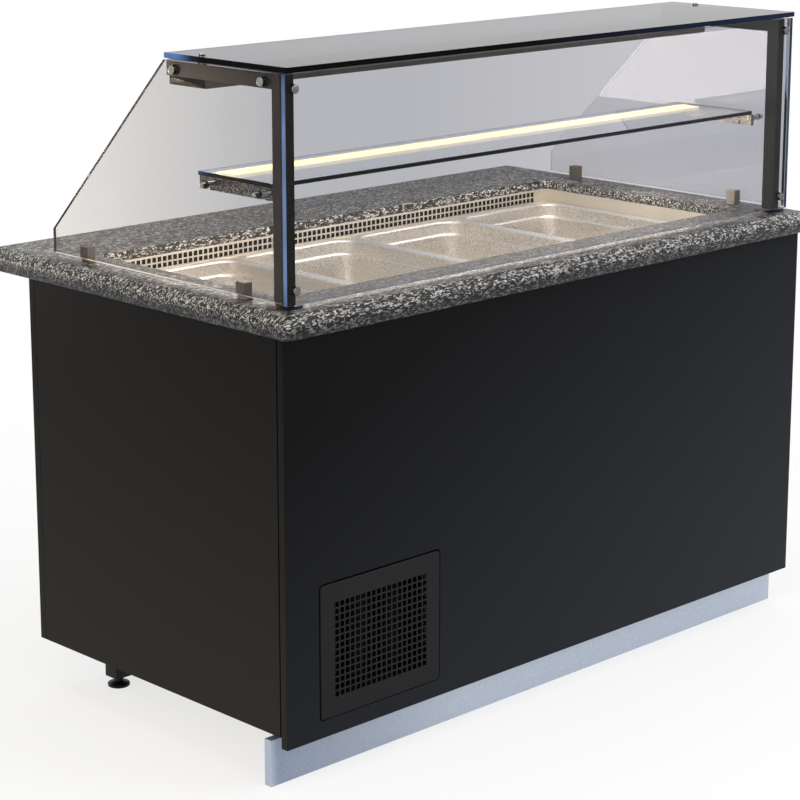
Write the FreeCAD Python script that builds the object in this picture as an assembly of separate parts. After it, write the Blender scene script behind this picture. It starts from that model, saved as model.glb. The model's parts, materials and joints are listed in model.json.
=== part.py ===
import FreeCAD, Part
import math
import os

# Refrigerated buffet counter: a board-clad cabinet with a stone worktop, a cold well for four
# gastronorm pans, a glass sneeze guard and a condensing unit behind a vented access panel.
# Millimetres. +X runs along the counter, the customer side faces -Y, +Z is up.
# The origin is on the floor under the middle of the worktop.

os.makedirs("parts", exist_ok=True)
V = FreeCAD.Vector

# ---- driving dimensions: gastronorm 1/1 pans ----
pan_count = 4
pan_length = 530.0
pan_width = 325.0
pan_depth = 150.0
pan_gap = 2.2                 # between the rims of two pans
pan_flange = 12.5
pan_sheet = 1.0
pan_lip = 4.0                 # turned-down edge of the rim
pan_taper = 7.0               # draft of each wall over the depth
pan_corner = 40.0
pan_seat = 0.3                # clearance under the lip

# ---- driving dimensions: cabinet ----
top_height = 914.0            # worktop above the floor
board = 16.0                  # laminate board thickness
panel_seam = 2.0              # shadow gap between front panel and end panels
front_clearance = 86.0        # floor to the front panel's lower edge
end_clearance = 107.0         # floor to the end panels' lower edge
post_depth = 18.0             # rear corner post, front to back
post_width = 40.0             # rear corner post, along the counter
rail_height = 20.0            # rails under the base panel
rail_width = 50.0
front_rail_setback = 90.0     # front panel face to front rail
rear_rail_margin = 82.0       # rear rail to the cabinet's rear face

# ---- driving dimensions: worktop ----
overhang_end = 16.0
overhang_front = 30.0
overhang_rear = 137.0
edge_height = 43.0            # built-up edge of the worktop
slab = 20.0                   # stone slab itself
edge_band = 50.0              # width of the strips that build the edge up
bevel_run = 20.0
bevel_drop = 15.0
worktop_corner = 12.0
rib_width = 48.0              # strip under the slab above the rear of the cabinet
rib_overlap = 8.0             # how far that strip passes the cabinet's rear face
well_corner = 18.0
well_end_clearance = 4.7      # cut-out's end to the first pan
well_side_clearance = 11.5    # cut-out's edge to the pans' ends
well_end_margin = 102.0       # cabinet's end face to the cut-out
well_setback = 112.0          # front panel face to the cut-out
well_rear_margin = 101.0      # cut-out to the cabinet's rear face

# ---- driving dimensions: cold well ----
sheet = 1.5                   # stainless sheet of tank and duct
rim_drop = 49.0               # worktop surface down to the pan rims
front_ledge = 22.0
end_ledge = 15.0
rear_ledge = 22.0
tank_rim = 15.0               # flange screwed to the underside of the slab
duct_depth = 30.0             # air duct behind the perforated strip
under_pans = 35.0             # air space between pans and coil
foam = 28.0                   # insulation around the tank
hole = 9.6                    # square perforation
hole_pitch = 13.6
hole_rows = 2
strip_margin = 40.0           # plain ends of the perforated strip
bar_width = 20.0
bar_height = 12.0

# ---- driving dimensions: sneeze guard ----
tube_x = 20.0                 # frame tube along the counter
tube_y = 30.0                 # post tube, front to back; also the arm's height
tube_wall = 1.5
post_inset = 48.0             # cabinet end to post centre line
post_setback = 47.0           # front panel face to post centre line
guard_height = 423.0          # worktop to the top of the arms
arm_reach = 356.0             # front panel face to the arm's rear end
flange_radius = 33.0
flange_height = 4.0
flange_stud = 5.0             # radius of the stud under each post
nut_radius = 9.0
nut_height = 8.0
glass = 10.0                  # front, side and top glass
front_glass_lift = 7.0        # worktop to the front glass
front_glass_gap = 6.0         # glass to post, filled by the washers
side_glass_gap = 4.0          # glass to post, filled by the washers
side_glass_lift = 10.0        # worktop to the side glass
side_glass_reach = 711.0      # front panel face to the rear edge
side_glass_rear_edge = 48.0   # upright rear edge, below the slope
top_glass_gap = 3.0           # pads under the top glass
top_glass_setback = 12.0
top_glass_rear = 4.0          # arm's rear end to the glass's rear edge
top_bolt_setback = 268.0
front_pad_setback = 62.0
glass_inset = 26.0            # cabinet end to the end of top and front glass
side_glass_clear = 2.0        # front glass to side glass
cap_radius = 8.5
shelf_cap_radius = 5.0
cap_height = 4.0
bolt_radius = 4.0
bolt_clearance = 0.25
bolt_end = 10.0               # shank inside the tube
washer_radius = 10.0
shelf_washer_radius = 6.5
front_bolt_inset = 26.5       # upper and lower edge of the front glass to its bolts
arm_bolt_setbacks = (78.0, 326.0)
arm_bolt_drop = 17.0          # arm top to the side-glass bolts
foot_block = (20.0, 24.0, 32.0)
foot_block_setbacks = (152.0, 622.0)

# ---- driving dimensions: display shelf and lights ----
shelf_glass = 8.0
shelf_lift = 209.0            # worktop to the underside of the shelf glass
shelf_inset = 64.0            # cabinet end to the end of the shelf
shelf_setback = 92.0
shelf_depth = 210.0
bracket_height = 24.0
bracket_thickness = 8.0
bracket_lead = 5.0            # bracket's front end before the shelf glass
bracket_slot = 9.0
bracket_slot_height = 6.5     # straight part, below the round end
bracket_slot_offsets = (31.0, 187.0)  # from the front end of the bracket
shelf_bolt_offsets = (10.0, 158.0)  # from the front end of the bracket
shelf_bolt_drop = 8.0
spacer_radius = 6.0
light_panel_setback = 222.0
light_panel_depth = 53.0
light_panel_height = 7.0
light_panel_end = 12.0
canopy_setback = 247.0
canopy_depth = 105.0
canopy_height = 17.0
canopy_inset = 3.0            # beam end inside the outer face of the arm
canopy_wall = 2.0
diffuser_depth = 50.0
diffuser_height = 3.0

# ---- driving dimensions: vent access panel ----
vent_width = 313.0
vent_height = 264.0
vent_left = 85.0              # cabinet end to the opening
vent_bottom = 122.0
vent_gap = 2.5
vent_sheet = 2.0
vent_return = 12.0
vent_corner = 8.0
vent_columns = 18
vent_rows = 14
clip_width = 20.0
clip_clearance = 0.3

# ---- driving dimensions: plinth and feet ----
plinth_height = 93.0
plinth_thickness = 18.0
plinth_setback = 46.0
bracket_sheet = 2.0
plinth_bracket_width = 40.0
foot_inset = 116.0
socket_size = 40.0
socket_bottom = 22.0
foot_radius = 23.0
foot_top_radius = 19.0
foot_height = 18.0
stud_radius = 5.0
stud_running = 0.08           # radial clearance of the foot's stud
stud_reach = 45.0

# ---- driving dimensions: rear side ----
cover_sheet = 2.0
cover_height = 276.0          # rear cover above the doors
header_height = 18.0
machine_bay = 428.0           # cabinet's end face to the machine compartment's wall
door_gap = 3.0
door_board = 18.0
door_lift = 4.0               # rail or header to the door's edge
pin_radius = 4.0
pin_running = 0.06
pin_length = 14.0
handle_radius = 5.0
handle_span = 160.0
handle_reach = 32.0
handle_edge = 45.0
handle_drop = 50.0            # door's top edge to the handle's upper foot
louvre_rows = 9
louvre_pitch = 26.0
louvre_slot = (128.0, 9.0)
louvre_bridge = 20.0          # plain strip between the two columns
louvre_start = 60.0           # base panel's top to the lowest slot

# ---- driving dimensions: controls ----
control_drop = 126.0          # top of the cover to the middle of the controls
display_size = (77.0, 35.0, 4.0)
display_body = (71.0, 29.0, 28.0)
display_fit = 0.3             # body to the cover's cut-out, each side
display_window = (44.0, 1.0, 20.0)
window_offset = 10.0          # display's middle to the window's middle
display_left = 90.0           # cover's left edge to the display's left edge
button_size = 8.0
button_length = 3.0
button_travel = 1.0
button_inset = 12.0           # display's end to the keys' middle
button_spread = 8.0           # display's middle to a key's middle
button_proud = 1.5
button_clearance = 0.25
button_stop = 0.3             # left under the key when it is fully pressed
rocker_size = (12.5, 16.0)
rocker_room = (0.35, 1.6)     # clearance beside and above the rocker
rocker_wall = 1.6
rocker_lip = (1.6, 2.0)       # bezel beyond the housing, and its height
rocker_pivot = 3.0            # pin below the cover's face
rocker_pin = 1.5
rocker_running = 0.05
rocker_height = (6.2, 4.6)    # rocker's ends and middle above the pin
rocker_root = 4.0
rocker_pitch = 45.0
rocker_tilt = 8.0
housing_depth = 18.0

# ---- driving dimensions: refrigeration ----
tray_sheet = 2.0
tray_lip = 18.0
tray_length = 330.0
tray_depth = 560.0
compressor_radius = 78.0
compressor_height = 190.0
compressor_setback = 190.0    # fan shroud to the compressor's middle
shell_bends = (14.0, 40.0, 12.0)  # foot bend, shoulder and crown of the shell
terminal_size = (28.0, 56.0, 55.0)  # reach beyond the shell, width, height
foot_plate = 4.0
grommet_height = 8.0
condenser_size = (300.0, 55.0, 240.0)
condenser_fins = 24
fin_gap = 0.72                # share of the pitch that is open
fin_depth = 0.42              # share of the depth that each side's gaps reach
end_plate = 8.0
condenser_setback = 20.0      # front panel to condenser
shroud_depth = 45.0
fan_radius = 100.0
fan_clearance = 4.0
fan_shaft = 4.0
fan_running = 0.06
blade_count = 5
blade_lean = 30.0
fan_hub = 24.0
fan_depth = 22.0
blade_sheet = 2.0
fan_motor = (38.0, 60.0)      # motor radius and length
shroud_sheet = 2.0
motor_arm = 12.0
evap_size = (760.0, 190.0, 80.0)
evap_fins = 30
bend_reach = 22.0
evap_setback = 90.0           # tank's front wall to the coil
evap_fan_size = 92.0
evap_fan_depth = 25.0
evap_fan_radius = 42.0
evap_fan_lift = 4.0
evap_fan_gap = 2.0            # blade tips to the frame
evap_fan_hub = 15.0
evap_shaft = 3.0
evap_blade_count = 7
evap_blade_lean = 35.0
pipe_radius = 5.0
pipe_clear = 12.0             # condenser's end to the discharge line
suction_radius = 7.0
suction_drop = 60.0
suction_offset = 70.0
drain_inset = 178.0           # well's end to the drain
drain_radius = 13.0
drain_bore = 10.0
drain_clearance = 0.2
drain_flange = (23.0, 1.5)
spigot_length = 50.0
valve_drop = 50.5             # foam to the valve body
valve_size = 36.0
lever_length = 75.0
lever_sheet = 4.0
lever_hub = 9.0
lever_stem = 4.0
valve_gap = 3.0               # valve body to the lever

# ---- derived places ----
pan_pitch = pan_width + pan_gap
well_length = pan_count * pan_pitch - pan_gap + 2 * well_end_clearance
well_depth = pan_length + 2 * well_side_clearance
body_length = well_length + 2 * well_end_margin
body_depth = well_setback + well_depth + well_rear_margin
half = body_length / 2
top_length = body_length + 2 * overhang_end
top_depth = overhang_front + body_depth + overhang_rear
front_y = -top_depth / 2 + overhang_front
rear_y = front_y + body_depth
body_top = top_height - edge_height
slab_bottom = top_height - slab
panel_back = front_y + board
well_front = front_y + well_setback
well_back = well_front + well_depth
well_half = well_length / 2
rim_z = top_height - rim_drop
ledge_z = rim_z - pan_lip - pan_seat
duct_back = well_back + duct_depth
low_front = well_front + front_ledge
low_half = well_half - end_ledge
baffle_y = well_back - rear_ledge
pan_y = (well_front + well_back) / 2
pan_xs = [(i - (pan_count - 1) / 2) * pan_pitch for i in range(pan_count)]
tank_floor = rim_z - pan_depth - under_pans - evap_size[2]
tank_under = tank_floor - sheet
fan_z = tank_floor + evap_fan_lift + evap_fan_size / 2
drain_x = well_half - drain_inset
foam_under = tank_under - foam
foam_top = ledge_z - sheet
rail_top = end_clearance + rail_height
base_top = rail_top + board
post_x = half - post_inset
post_y = front_y + post_setback
post_front = post_y - tube_y / 2
post_bottom = top_height + flange_height
arm_top = top_height + guard_height
arm_bottom = arm_top - tube_y
arm_end = front_y + arm_reach
front_glass_bottom = top_height + front_glass_lift
front_glass_back = post_front - front_glass_gap
front_bolt_heights = (front_glass_bottom + front_bolt_inset, arm_top - front_bolt_inset)
side_glass_bottom = top_height + side_glass_lift
side_inner = post_x + tube_x / 2 + side_glass_gap
side_outer = side_inner + glass
side_front = front_glass_back + side_glass_clear
top_glass_bottom = arm_top + top_glass_gap
glass_half = half - glass_inset
shelf_half = half - shelf_inset
shelf_height = top_height + shelf_lift
shelf_front = front_y + shelf_setback
shelf_bolt_z = shelf_height - shelf_bolt_drop
bracket_front = shelf_front - bracket_lead
bolt_hole = bolt_radius + bolt_clearance
cover_front = rear_y - cover_sheet
cover_drop = body_top - cover_height
partition_x = -half + machine_bay
inner_half = half - post_width
sides = (-1, 1)
rail_fronts = (front_y + front_rail_setback, rear_y - rear_rail_margin - rail_width)
foot_ys = [y + rail_width / 2 for y in rail_fronts]
foot_places = [(x * (half - foot_inset), y) for y in foot_ys for x in sides]


# ---- small building helpers ----
def box(x0, x1, y0, y1, z0, z1):
    x0, x1 = min(x0, x1), max(x0, x1)
    return Part.makeBox(x1 - x0, y1 - y0, z1 - z0, V(x0, y0, z0))


def block(cx, cy, z0, sx, sy, sz):
    return box(cx - sx / 2, cx + sx / 2, cy - sy / 2, cy + sy / 2, z0, z0 + sz)


def cylinder(x, y, z, radius, length, axis=(0, 0, 1)):
    return Part.makeCylinder(radius, length, V(x, y, z), V(*axis))


def rounded_wire(cx, cy, z, sx, sy, radius):
    """Horizontal rectangle with round corners."""
    hx, hy, r = sx / 2, sy / 2, radius
    k = r * (1 - math.sqrt(0.5))
    pts = {}
    edges = []
    corners = [(hx, hy), (-hx, hy), (-hx, -hy), (hx, -hy)]
    for i, (x, y) in enumerate(corners):
        ux, uy = math.copysign(1, x), math.copysign(1, y)
        a, b = V(cx + x, cy + y - uy * r, z), V(cx + x - ux * r, cy + y, z)
        mid = V(cx + x - ux * k, cy + y - uy * k, z)
        pts[i] = (a, mid, b) if i % 2 == 0 else (b, mid, a)
    for i in range(4):
        a, mid, b = pts[i]
        edges.append(Part.Arc(a, mid, b).toShape())
        edges.append(Part.makeLine(b, pts[(i + 1) % 4][0]))
    return Part.Wire(edges)


def rounded_prism(cx, cy, z0, z1, sx, sy, radius):
    return Part.Face(rounded_wire(cx, cy, z0, sx, sy, radius)).extrude(V(0, 0, z1 - z0))


def rounded_taper(cx, cy, z0, z1, low, high, radius_low, radius_high):
    lower = rounded_wire(cx, cy, z0, low[0], low[1], radius_low)
    upper = rounded_wire(cx, cy, z1, high[0], high[1], radius_high)
    return Part.makeLoft([lower, upper], True, True)


def yz_prism(points, x0, x1):
    """Straight-sided outline in Y and Z, extruded along X."""
    wire = Part.makePolygon([V(min(x0, x1), y, z) for y, z in points + points[:1]])
    return Part.Face(wire).extrude(V(abs(x1 - x0), 0, 0))


def revolve(points, x, y):
    """Outline in radius and height, turned about a vertical axis."""
    wire = Part.makePolygon([V(x + r, y, z) for r, z in points + points[:1]])
    return Part.Face(wire).revolve(V(x, y, 0), V(0, 0, 1), 360)


def tube(points, radius):
    """Bent tube through the points, with arcs as large as its runs allow."""
    p = [V(*q) for q in points]
    edges = []
    start = p[0]
    for a, b, c in zip(p, p[1:], p[2:]):
        u, w = (b - a).normalize(), (c - b).normalize()
        turn = u.getAngle(w)
        setback = 0.45 * min(a.distanceToPoint(b), b.distanceToPoint(c))
        r = setback / math.tan(turn / 2)
        arc_start, arc_end = b - u * setback, b + w * setback
        inward = (w - u).normalize()
        middle = b + inward * (r / math.cos(turn / 2) - r)
        edges += [Part.makeLine(start, arc_start), Part.Arc(arc_start, middle, arc_end).toShape()]
        start = arc_end
    edges.append(Part.makeLine(start, p[-1]))
    path = Part.Wire(edges)
    ring = Part.Wire([Part.makeCircle(radius, p[0], p[1] - p[0])])
    return path.makePipeShell([ring], True, False)


def fuse(shapes):
    return shapes[0].multiFuse(shapes[1:]).removeSplitter() if len(shapes) > 1 else shapes[0]


def cut(shape, tools):
    return shape.cut(Part.makeCompound(tools)) if tools else shape


def save(node, shapes):
    """One STEP file for each node; like pieces share a node as separate solids."""
    shapes = shapes if isinstance(shapes, list) else [shapes]
    whole = shapes[0] if len(shapes) == 1 else Part.makeCompound(shapes)
    whole.exportStep("parts/" + node + ".step")


# ---- cabinet ----
def vent_opening(margin, y0, y1):
    """Round-cornered prism of the vent opening, grown or shrunk by a margin."""
    cx = -half + vent_left + vent_width / 2
    cz = vent_bottom + vent_height / 2
    flat = rounded_prism(cx, cz, -y1, -y0, vent_width + 2 * margin, vent_height + 2 * margin,
                         vent_corner + margin)
    flat.rotate(V(0, 0, 0), V(1, 0, 0), 90)
    return flat


def front_panel():
    panel = box(-half, half, front_y, panel_back, front_clearance, body_top)
    return panel.cut(vent_opening(vent_gap, front_y - 1, panel_back + 1))


def vent_access_panel():
    """Perforated steel cassette with a turned-in edge and four spring clips."""
    shell = vent_opening(0, front_y, front_y + vent_return)
    shell = shell.cut(vent_opening(-vent_sheet, front_y + vent_sheet, front_y + vent_return + 1))
    x0 = -half + vent_left + (vent_width - (vent_columns - 1) * hole_pitch - hole) / 2
    z0 = vent_bottom + (vent_height - (vent_rows - 1) * hole_pitch - hole) / 2
    holes = []
    for i in range(vent_columns):
        for j in range(vent_rows):
            x, z = x0 + i * hole_pitch, z0 + j * hole_pitch
            holes.append(box(x, x + hole, front_y - 1, front_y + vent_sheet + 1, z, z + hole))
    shell = cut(shell, holes)
    clips = []
    reach = vent_gap - clip_clearance
    for side in sides:
        for part in (0.25, 0.75):
            edge = -half + vent_left + (vent_width if side > 0 else 0)
            z = vent_bottom + vent_height * part
            clips.append(box(edge, edge + side * reach, front_y + vent_return / 2,
                             front_y + vent_return, z - clip_width / 2, z + clip_width / 2))
    return fuse([shell] + clips)


def side_panel(side):
    return box(side * (half - board), side * half, panel_back + panel_seam, rear_y - post_depth,
               end_clearance, body_top)


def rear_corner_posts():
    return [box(s * inner_half, s * half, rear_y - post_depth, rear_y, end_clearance, body_top)
            for s in sides]


def base_rails():
    """Front rail, rear rail and door sill, all carrying the base panel."""
    inner = half - board
    rails = [box(-inner, inner, y, y + rail_width, end_clearance, rail_top) for y in rail_fronts]
    sill = box(-inner_half, inner_half, rear_y - post_width, rear_y, end_clearance, rail_top)
    return rails + [sill]


def base_panel():
    return box(-half + board, half - board, panel_back, rear_y - post_depth - door_gap, rail_top, base_top)


def machine_partition():
    return box(partition_x - board, partition_x, panel_back, rear_y - post_depth - door_gap,
               base_top, foam_under)


def plinth():
    """Kickboard and the angle brackets that screw it to the front rail."""
    front = front_y + plinth_setback
    back = front + plinth_thickness
    pieces = [box(-half, half, front, back, 0, plinth_height)]
    reach = front_y + front_rail_setback + rail_width / 2
    for x in (-half * 0.75, 0, half * 0.75):
        leg = box(x - plinth_bracket_width / 2, x + plinth_bracket_width / 2, back,
                  back + bracket_sheet, plinth_height / 2, end_clearance)
        arm = box(x - plinth_bracket_width / 2, x + plinth_bracket_width / 2, back, reach,
                  end_clearance - bracket_sheet, end_clearance)
        pieces.append(leg.fuse(arm).removeSplitter())
    return pieces


def foot_sockets():
    sockets = []
    for x, y in foot_places:
        socket = block(x, y, socket_bottom, socket_size, socket_size, end_clearance - socket_bottom)
        socket = socket.makeFillet(3.0, [e for e in socket.Edges if abs(e.BoundBox.ZLength) > socket_size])
        bore = cylinder(x, y, socket_bottom - 1, stud_radius + stud_running, stud_reach + foot_height)
        sockets.append(socket.cut(bore))
    return sockets


def levelling_foot(x, y):
    """Round foot with a threaded stud that screws into the socket."""
    foot = revolve([(0, 0), (foot_radius, 0), (foot_radius, foot_height * 0.35),
                    (foot_top_radius, foot_height), (stud_radius, foot_height),
                    (stud_radius, foot_height + stud_reach), (0, foot_height + stud_reach)], x, y)
    return foot


# ---- worktop ----
def granite_top():
    """Bevelled stone slab with the well cut out, and the strips glued under it as its edge."""
    bevel_z = top_height - bevel_drop
    lower = rounded_prism(0, 0, slab_bottom, bevel_z, top_length, top_depth, worktop_corner)
    upper = rounded_taper(0, 0, bevel_z, top_height, (top_length, top_depth),
                          (top_length - 2 * bevel_run, top_depth - 2 * bevel_run),
                          worktop_corner, worktop_corner / 2)
    stone = lower.fuse(upper).removeSplitter()
    well = rounded_prism(0, pan_y, slab_bottom - 1, top_height + 1, well_length, well_depth, well_corner)
    studs = [cylinder(s * post_x, post_y, slab_bottom - 1, flange_stud + bolt_clearance, slab + 2)
             for s in sides]
    outline = rounded_prism(0, 0, body_top, slab_bottom, top_length, top_depth, worktop_corner)
    end_x, end_y = top_length / 2, top_depth / 2
    inner_x, inner_y = end_x - edge_band, end_y - edge_band
    places = [(-end_x, end_x, -end_y, -inner_y), (-end_x, end_x, inner_y, end_y),
              (-end_x, -inner_x, -inner_y, inner_y), (inner_x, end_x, -inner_y, inner_y)]
    strips = [outline.common(box(x0, x1, y0, y1, body_top, slab_bottom)) for x0, x1, y0, y1 in places]
    rib_back = rear_y + rib_overlap
    rib = box(-inner_x, inner_x, rib_back - rib_width, rib_back, body_top, slab_bottom)
    return [cut(stone, [well] + studs)] + strips + [rib]


# ---- cold well ----
def well_tank():
    """Welded stainless tank: floor, walls, the ledges that carry the pans, and the top flange."""
    end, low = well_half, low_half
    wall_top = slab_bottom - sheet
    floor = box(-low - sheet, low + sheet, low_front - sheet, duct_back + sheet, tank_under, tank_floor)
    floor = floor.cut(cylinder(drain_x, pan_y, tank_under - 1, drain_radius + drain_clearance, sheet + 2))
    walls = [box(-low - sheet, low + sheet, low_front - sheet, low_front, tank_floor, foam_top),
             box(-end - sheet, end + sheet, duct_back, duct_back + sheet, ledge_z, wall_top),
             box(-low - sheet, low + sheet, duct_back, duct_back + sheet, tank_floor, foam_top),
             box(-end - sheet, end + sheet, well_front - sheet, well_front, ledge_z, wall_top)]
    ledges = [box(-end - sheet, end + sheet, well_front - sheet, low_front, foam_top, ledge_z)]
    rim_x, rim_front, rim_back = end + tank_rim, well_front - tank_rim, duct_back + tank_rim
    flanges = [box(-rim_x, rim_x, rim_front, well_front, wall_top, slab_bottom),
               box(-rim_x, rim_x, duct_back, rim_back, wall_top, slab_bottom)]
    for s in sides:
        walls.append(box(s * low, s * (low + sheet), low_front, duct_back, tank_floor, foam_top))
        walls.append(box(s * end, s * (end + sheet), well_front, duct_back, ledge_z, wall_top))
        ledges.append(box(s * low, s * (end + sheet), low_front, duct_back + sheet, foam_top, ledge_z))
        flanges.append(box(s * end, s * rim_x, well_front, duct_back, wall_top, slab_bottom))
    ledges.append(box(-low, low, duct_back, duct_back + sheet, foam_top, ledge_z))
    return [floor] + walls + ledges + flanges


def tank_insulation():
    """Foam boards under and around the tank."""
    outer_x, front, back = well_half + foam, well_front - foam, duct_back + foam
    inner_x, inner_front, inner_back = low_half + sheet, low_front - sheet, duct_back + sheet
    floor = box(-outer_x, outer_x, front, back, foam_under, tank_under)
    floor = floor.cut(cylinder(drain_x, pan_y, foam_under - 1, drain_radius + drain_clearance, foam + 2))
    boards = [box(-outer_x, outer_x, front, inner_front, tank_under, foam_top),
              box(-outer_x, outer_x, inner_back, back, tank_under, foam_top)]
    boards += [box(s * inner_x, s * outer_x, inner_front, inner_back, tank_under, foam_top) for s in sides]
    return [floor] + boards


def air_duct_panel():
    """Perforated strip above the pans, the ledge they rest on and the baffle with the fan hole."""
    strip = box(-well_half, well_half, well_back, well_back + sheet, ledge_z, slab_bottom)
    ledge = box(-low_half, low_half, baffle_y - sheet, well_back + sheet, foam_top, ledge_z)
    baffle = box(-low_half, low_half, baffle_y - sheet, baffle_y, tank_floor, foam_top)
    usable = well_length - 2 * strip_margin
    columns = int((usable - hole) // hole_pitch) + 1
    x0 = -((columns - 1) * hole_pitch + hole) / 2
    face = slab_bottom - ledge_z
    z0 = ledge_z + (face - (hole_rows - 1) * hole_pitch - hole) / 2
    holes = []
    for i in range(columns):
        for j in range(hole_rows):
            x, z = x0 + i * hole_pitch, z0 + j * hole_pitch
            holes.append(box(x, x + hole, well_back - 1, well_back + sheet + 1, z, z + hole))
    fan = cylinder(0, baffle_y - sheet - 1, fan_z, evap_fan_radius + evap_fan_gap, sheet + 2, (0, 1, 0))
    return [cut(strip, holes), ledge, baffle.cut(fan)]


def pan_support_bars():
    bars = []
    for a, b in zip(pan_xs, pan_xs[1:]):
        x = (a + b) / 2
        bars.append(box(x - bar_width / 2, x + bar_width / 2, low_front, baffle_y - sheet,
                        ledge_z - bar_height, ledge_z))
    return bars


def gn_pan(x):
    """Deep-drawn pan with a flat rim and a turned-down lip."""
    body = (pan_width - 2 * pan_flange, pan_length - 2 * pan_flange)
    foot = (body[0] - 2 * pan_taper, body[1] - 2 * pan_taper)
    wall = 2 * pan_sheet
    outer = rounded_taper(x, pan_y, rim_z - pan_depth, rim_z, foot, body, pan_corner - 8, pan_corner)
    inner = rounded_taper(x, pan_y, rim_z - pan_depth + pan_sheet, rim_z + 0.001,
                          (foot[0] - wall, foot[1] - wall), (body[0] - wall, body[1] - wall),
                          pan_corner - 9, pan_corner - 1)
    flange = rounded_prism(x, pan_y, rim_z - pan_lip, rim_z, pan_width, pan_length, pan_flange + 6)
    under = rounded_prism(x, pan_y, rim_z - pan_lip - 1, rim_z - pan_sheet, pan_width - wall,
                          pan_length - wall, pan_flange + 5)
    mouth = rounded_prism(x, pan_y, rim_z - pan_lip - 1, rim_z + 1, body[0] - wall, body[1] - wall,
                          pan_corner - pan_sheet)
    return fuse([outer.cut(inner), flange.cut(under).cut(mouth)])


# ---- sneeze guard ----
def support_frame(side):
    """Post and arm of rectangular tube, mitred and welded, with clearance holes for the bolts."""
    x0, x1 = side * (post_x - tube_x / 2), side * (post_x + tube_x / 2)
    outline = [(post_front, post_bottom), (post_front, arm_top), (arm_end, arm_top),
               (arm_end, arm_bottom), (post_front + tube_y, arm_bottom), (post_front + tube_y, post_bottom)]
    w = tube_wall
    hollow = [(post_front + w, post_bottom + w), (post_front + w, arm_top - w), (arm_end - w, arm_top - w),
              (arm_end - w, arm_bottom + w), (post_front + tube_y - w, arm_bottom + w),
              (post_front + tube_y - w, post_bottom + w)]
    frame = yz_prism(outline, x0, x1)
    inside = yz_prism(hollow, side * (post_x - tube_x / 2 + w), side * (post_x + tube_x / 2 - w))
    holes = [cylinder(side * post_x, post_front - 1, z, bolt_hole, w + 2, (0, 1, 0))
             for z in front_bolt_heights]
    holes += [cylinder(x1 + side, front_y + s, arm_top - arm_bolt_drop, bolt_hole, w + 2, (-side, 0, 0))
              for s in arm_bolt_setbacks]
    return cut(frame.cut(inside), holes)


def post_base_flanges():
    """Round flange with a stud and nut that clamps each post to the stone."""
    pieces = []
    for s in sides:
        flange = cylinder(s * post_x, post_y, top_height, flange_radius, flange_height)
        stud = cylinder(s * post_x, post_y, slab_bottom - nut_height - 4, flange_stud, slab + nut_height + 5)
        nut = cylinder(s * post_x, post_y, slab_bottom - nut_height, nut_radius, nut_height)
        pieces.append(fuse([flange, stud, nut]))
    return pieces


def front_glass():
    face = front_glass_back - glass
    pane = box(-glass_half, glass_half, face, front_glass_back, front_glass_bottom, arm_top)
    holes = [cylinder(s * post_x, face - 1, z, bolt_hole, glass + 2, (0, 1, 0))
             for s in sides for z in front_bolt_heights]
    return cut(pane, holes)


def side_glass(side):
    slope_top = arm_end - top_glass_rear
    rear = front_y + side_glass_reach
    side_glass_rear_top = side_glass_bottom + side_glass_rear_edge
    outline = [(side_front, side_glass_bottom), (side_front, arm_top), (slope_top, arm_top),
               (rear, side_glass_rear_top), (rear, side_glass_bottom)]
    pane = yz_prism(outline, side * side_inner, side * side_outer)
    places = [(front_y + s, arm_top - arm_bolt_drop) for s in arm_bolt_setbacks]
    places += [(bracket_front + s, shelf_bolt_z) for s in shelf_bolt_offsets]
    holes = [cylinder(side * (side_inner - 1), y, z, bolt_hole, glass + 2, (side, 0, 0))
             for y, z in places]
    return cut(pane, holes)


def glass_bolts():
    """Round-capped bolts: four through the front glass, four into the arms, four for the shelf."""
    bolts = []
    for s in sides:
        for z in front_bolt_heights:
            y = front_glass_back - glass - cap_height
            cap = cylinder(s * post_x, y, z, cap_radius, cap_height, (0, 1, 0))
            reach = cap_height + glass + front_glass_gap + bolt_end
            shank = cylinder(s * post_x, y, z, bolt_radius, reach, (0, 1, 0))
            bolts.append(fuse([cap, shank]))
        x = s * (side_outer + cap_height)
        for setback in arm_bolt_setbacks:
            y, z = front_y + setback, arm_top - arm_bolt_drop
            cap = cylinder(x, y, z, cap_radius, cap_height, (-s, 0, 0))
            reach = cap_height + glass + side_glass_gap + bolt_end
            shank = cylinder(x, y, z, bolt_radius, reach, (-s, 0, 0))
            bolts.append(fuse([cap, shank]))
        for offset in shelf_bolt_offsets:
            y, z = bracket_front + offset, shelf_bolt_z
            reach = side_outer + cap_height - shelf_half
            spacer = cylinder(s * (side_inner - side_glass_gap), y, z, spacer_radius,
                              side_inner - side_glass_gap - shelf_half, (-s, 0, 0))
            cap = cylinder(x, y, z, shelf_cap_radius, cap_height, (-s, 0, 0))
            shank = cylinder(x, y, z, bolt_radius, reach + bracket_thickness, (-s, 0, 0))
            bolts.append(fuse([cap, spacer, shank]))
    return bolts


def glass_washers():
    """Black rubber washers between the glass and what it is bolted to."""
    washers = []
    for s in sides:
        for z in front_bolt_heights:
            ring = cylinder(s * post_x, front_glass_back, z, washer_radius, front_glass_gap, (0, 1, 0))
            bore = cylinder(s * post_x, front_glass_back - 1, z, bolt_hole, front_glass_gap + 2, (0, 1, 0))
            washers.append(ring.cut(bore))
        places = [(front_y + b, arm_top - arm_bolt_drop, washer_radius) for b in arm_bolt_setbacks]
        places += [(bracket_front + b, shelf_bolt_z, shelf_washer_radius) for b in shelf_bolt_offsets]
        for y, z, radius in places:
            ring = cylinder(s * side_inner, y, z, radius, side_glass_gap, (-s, 0, 0))
            bore = cylinder(s * (side_inner + 1), y, z, bolt_hole, side_glass_gap + 2, (-s, 0, 0))
            washers.append(ring.cut(bore))
    return washers


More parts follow.
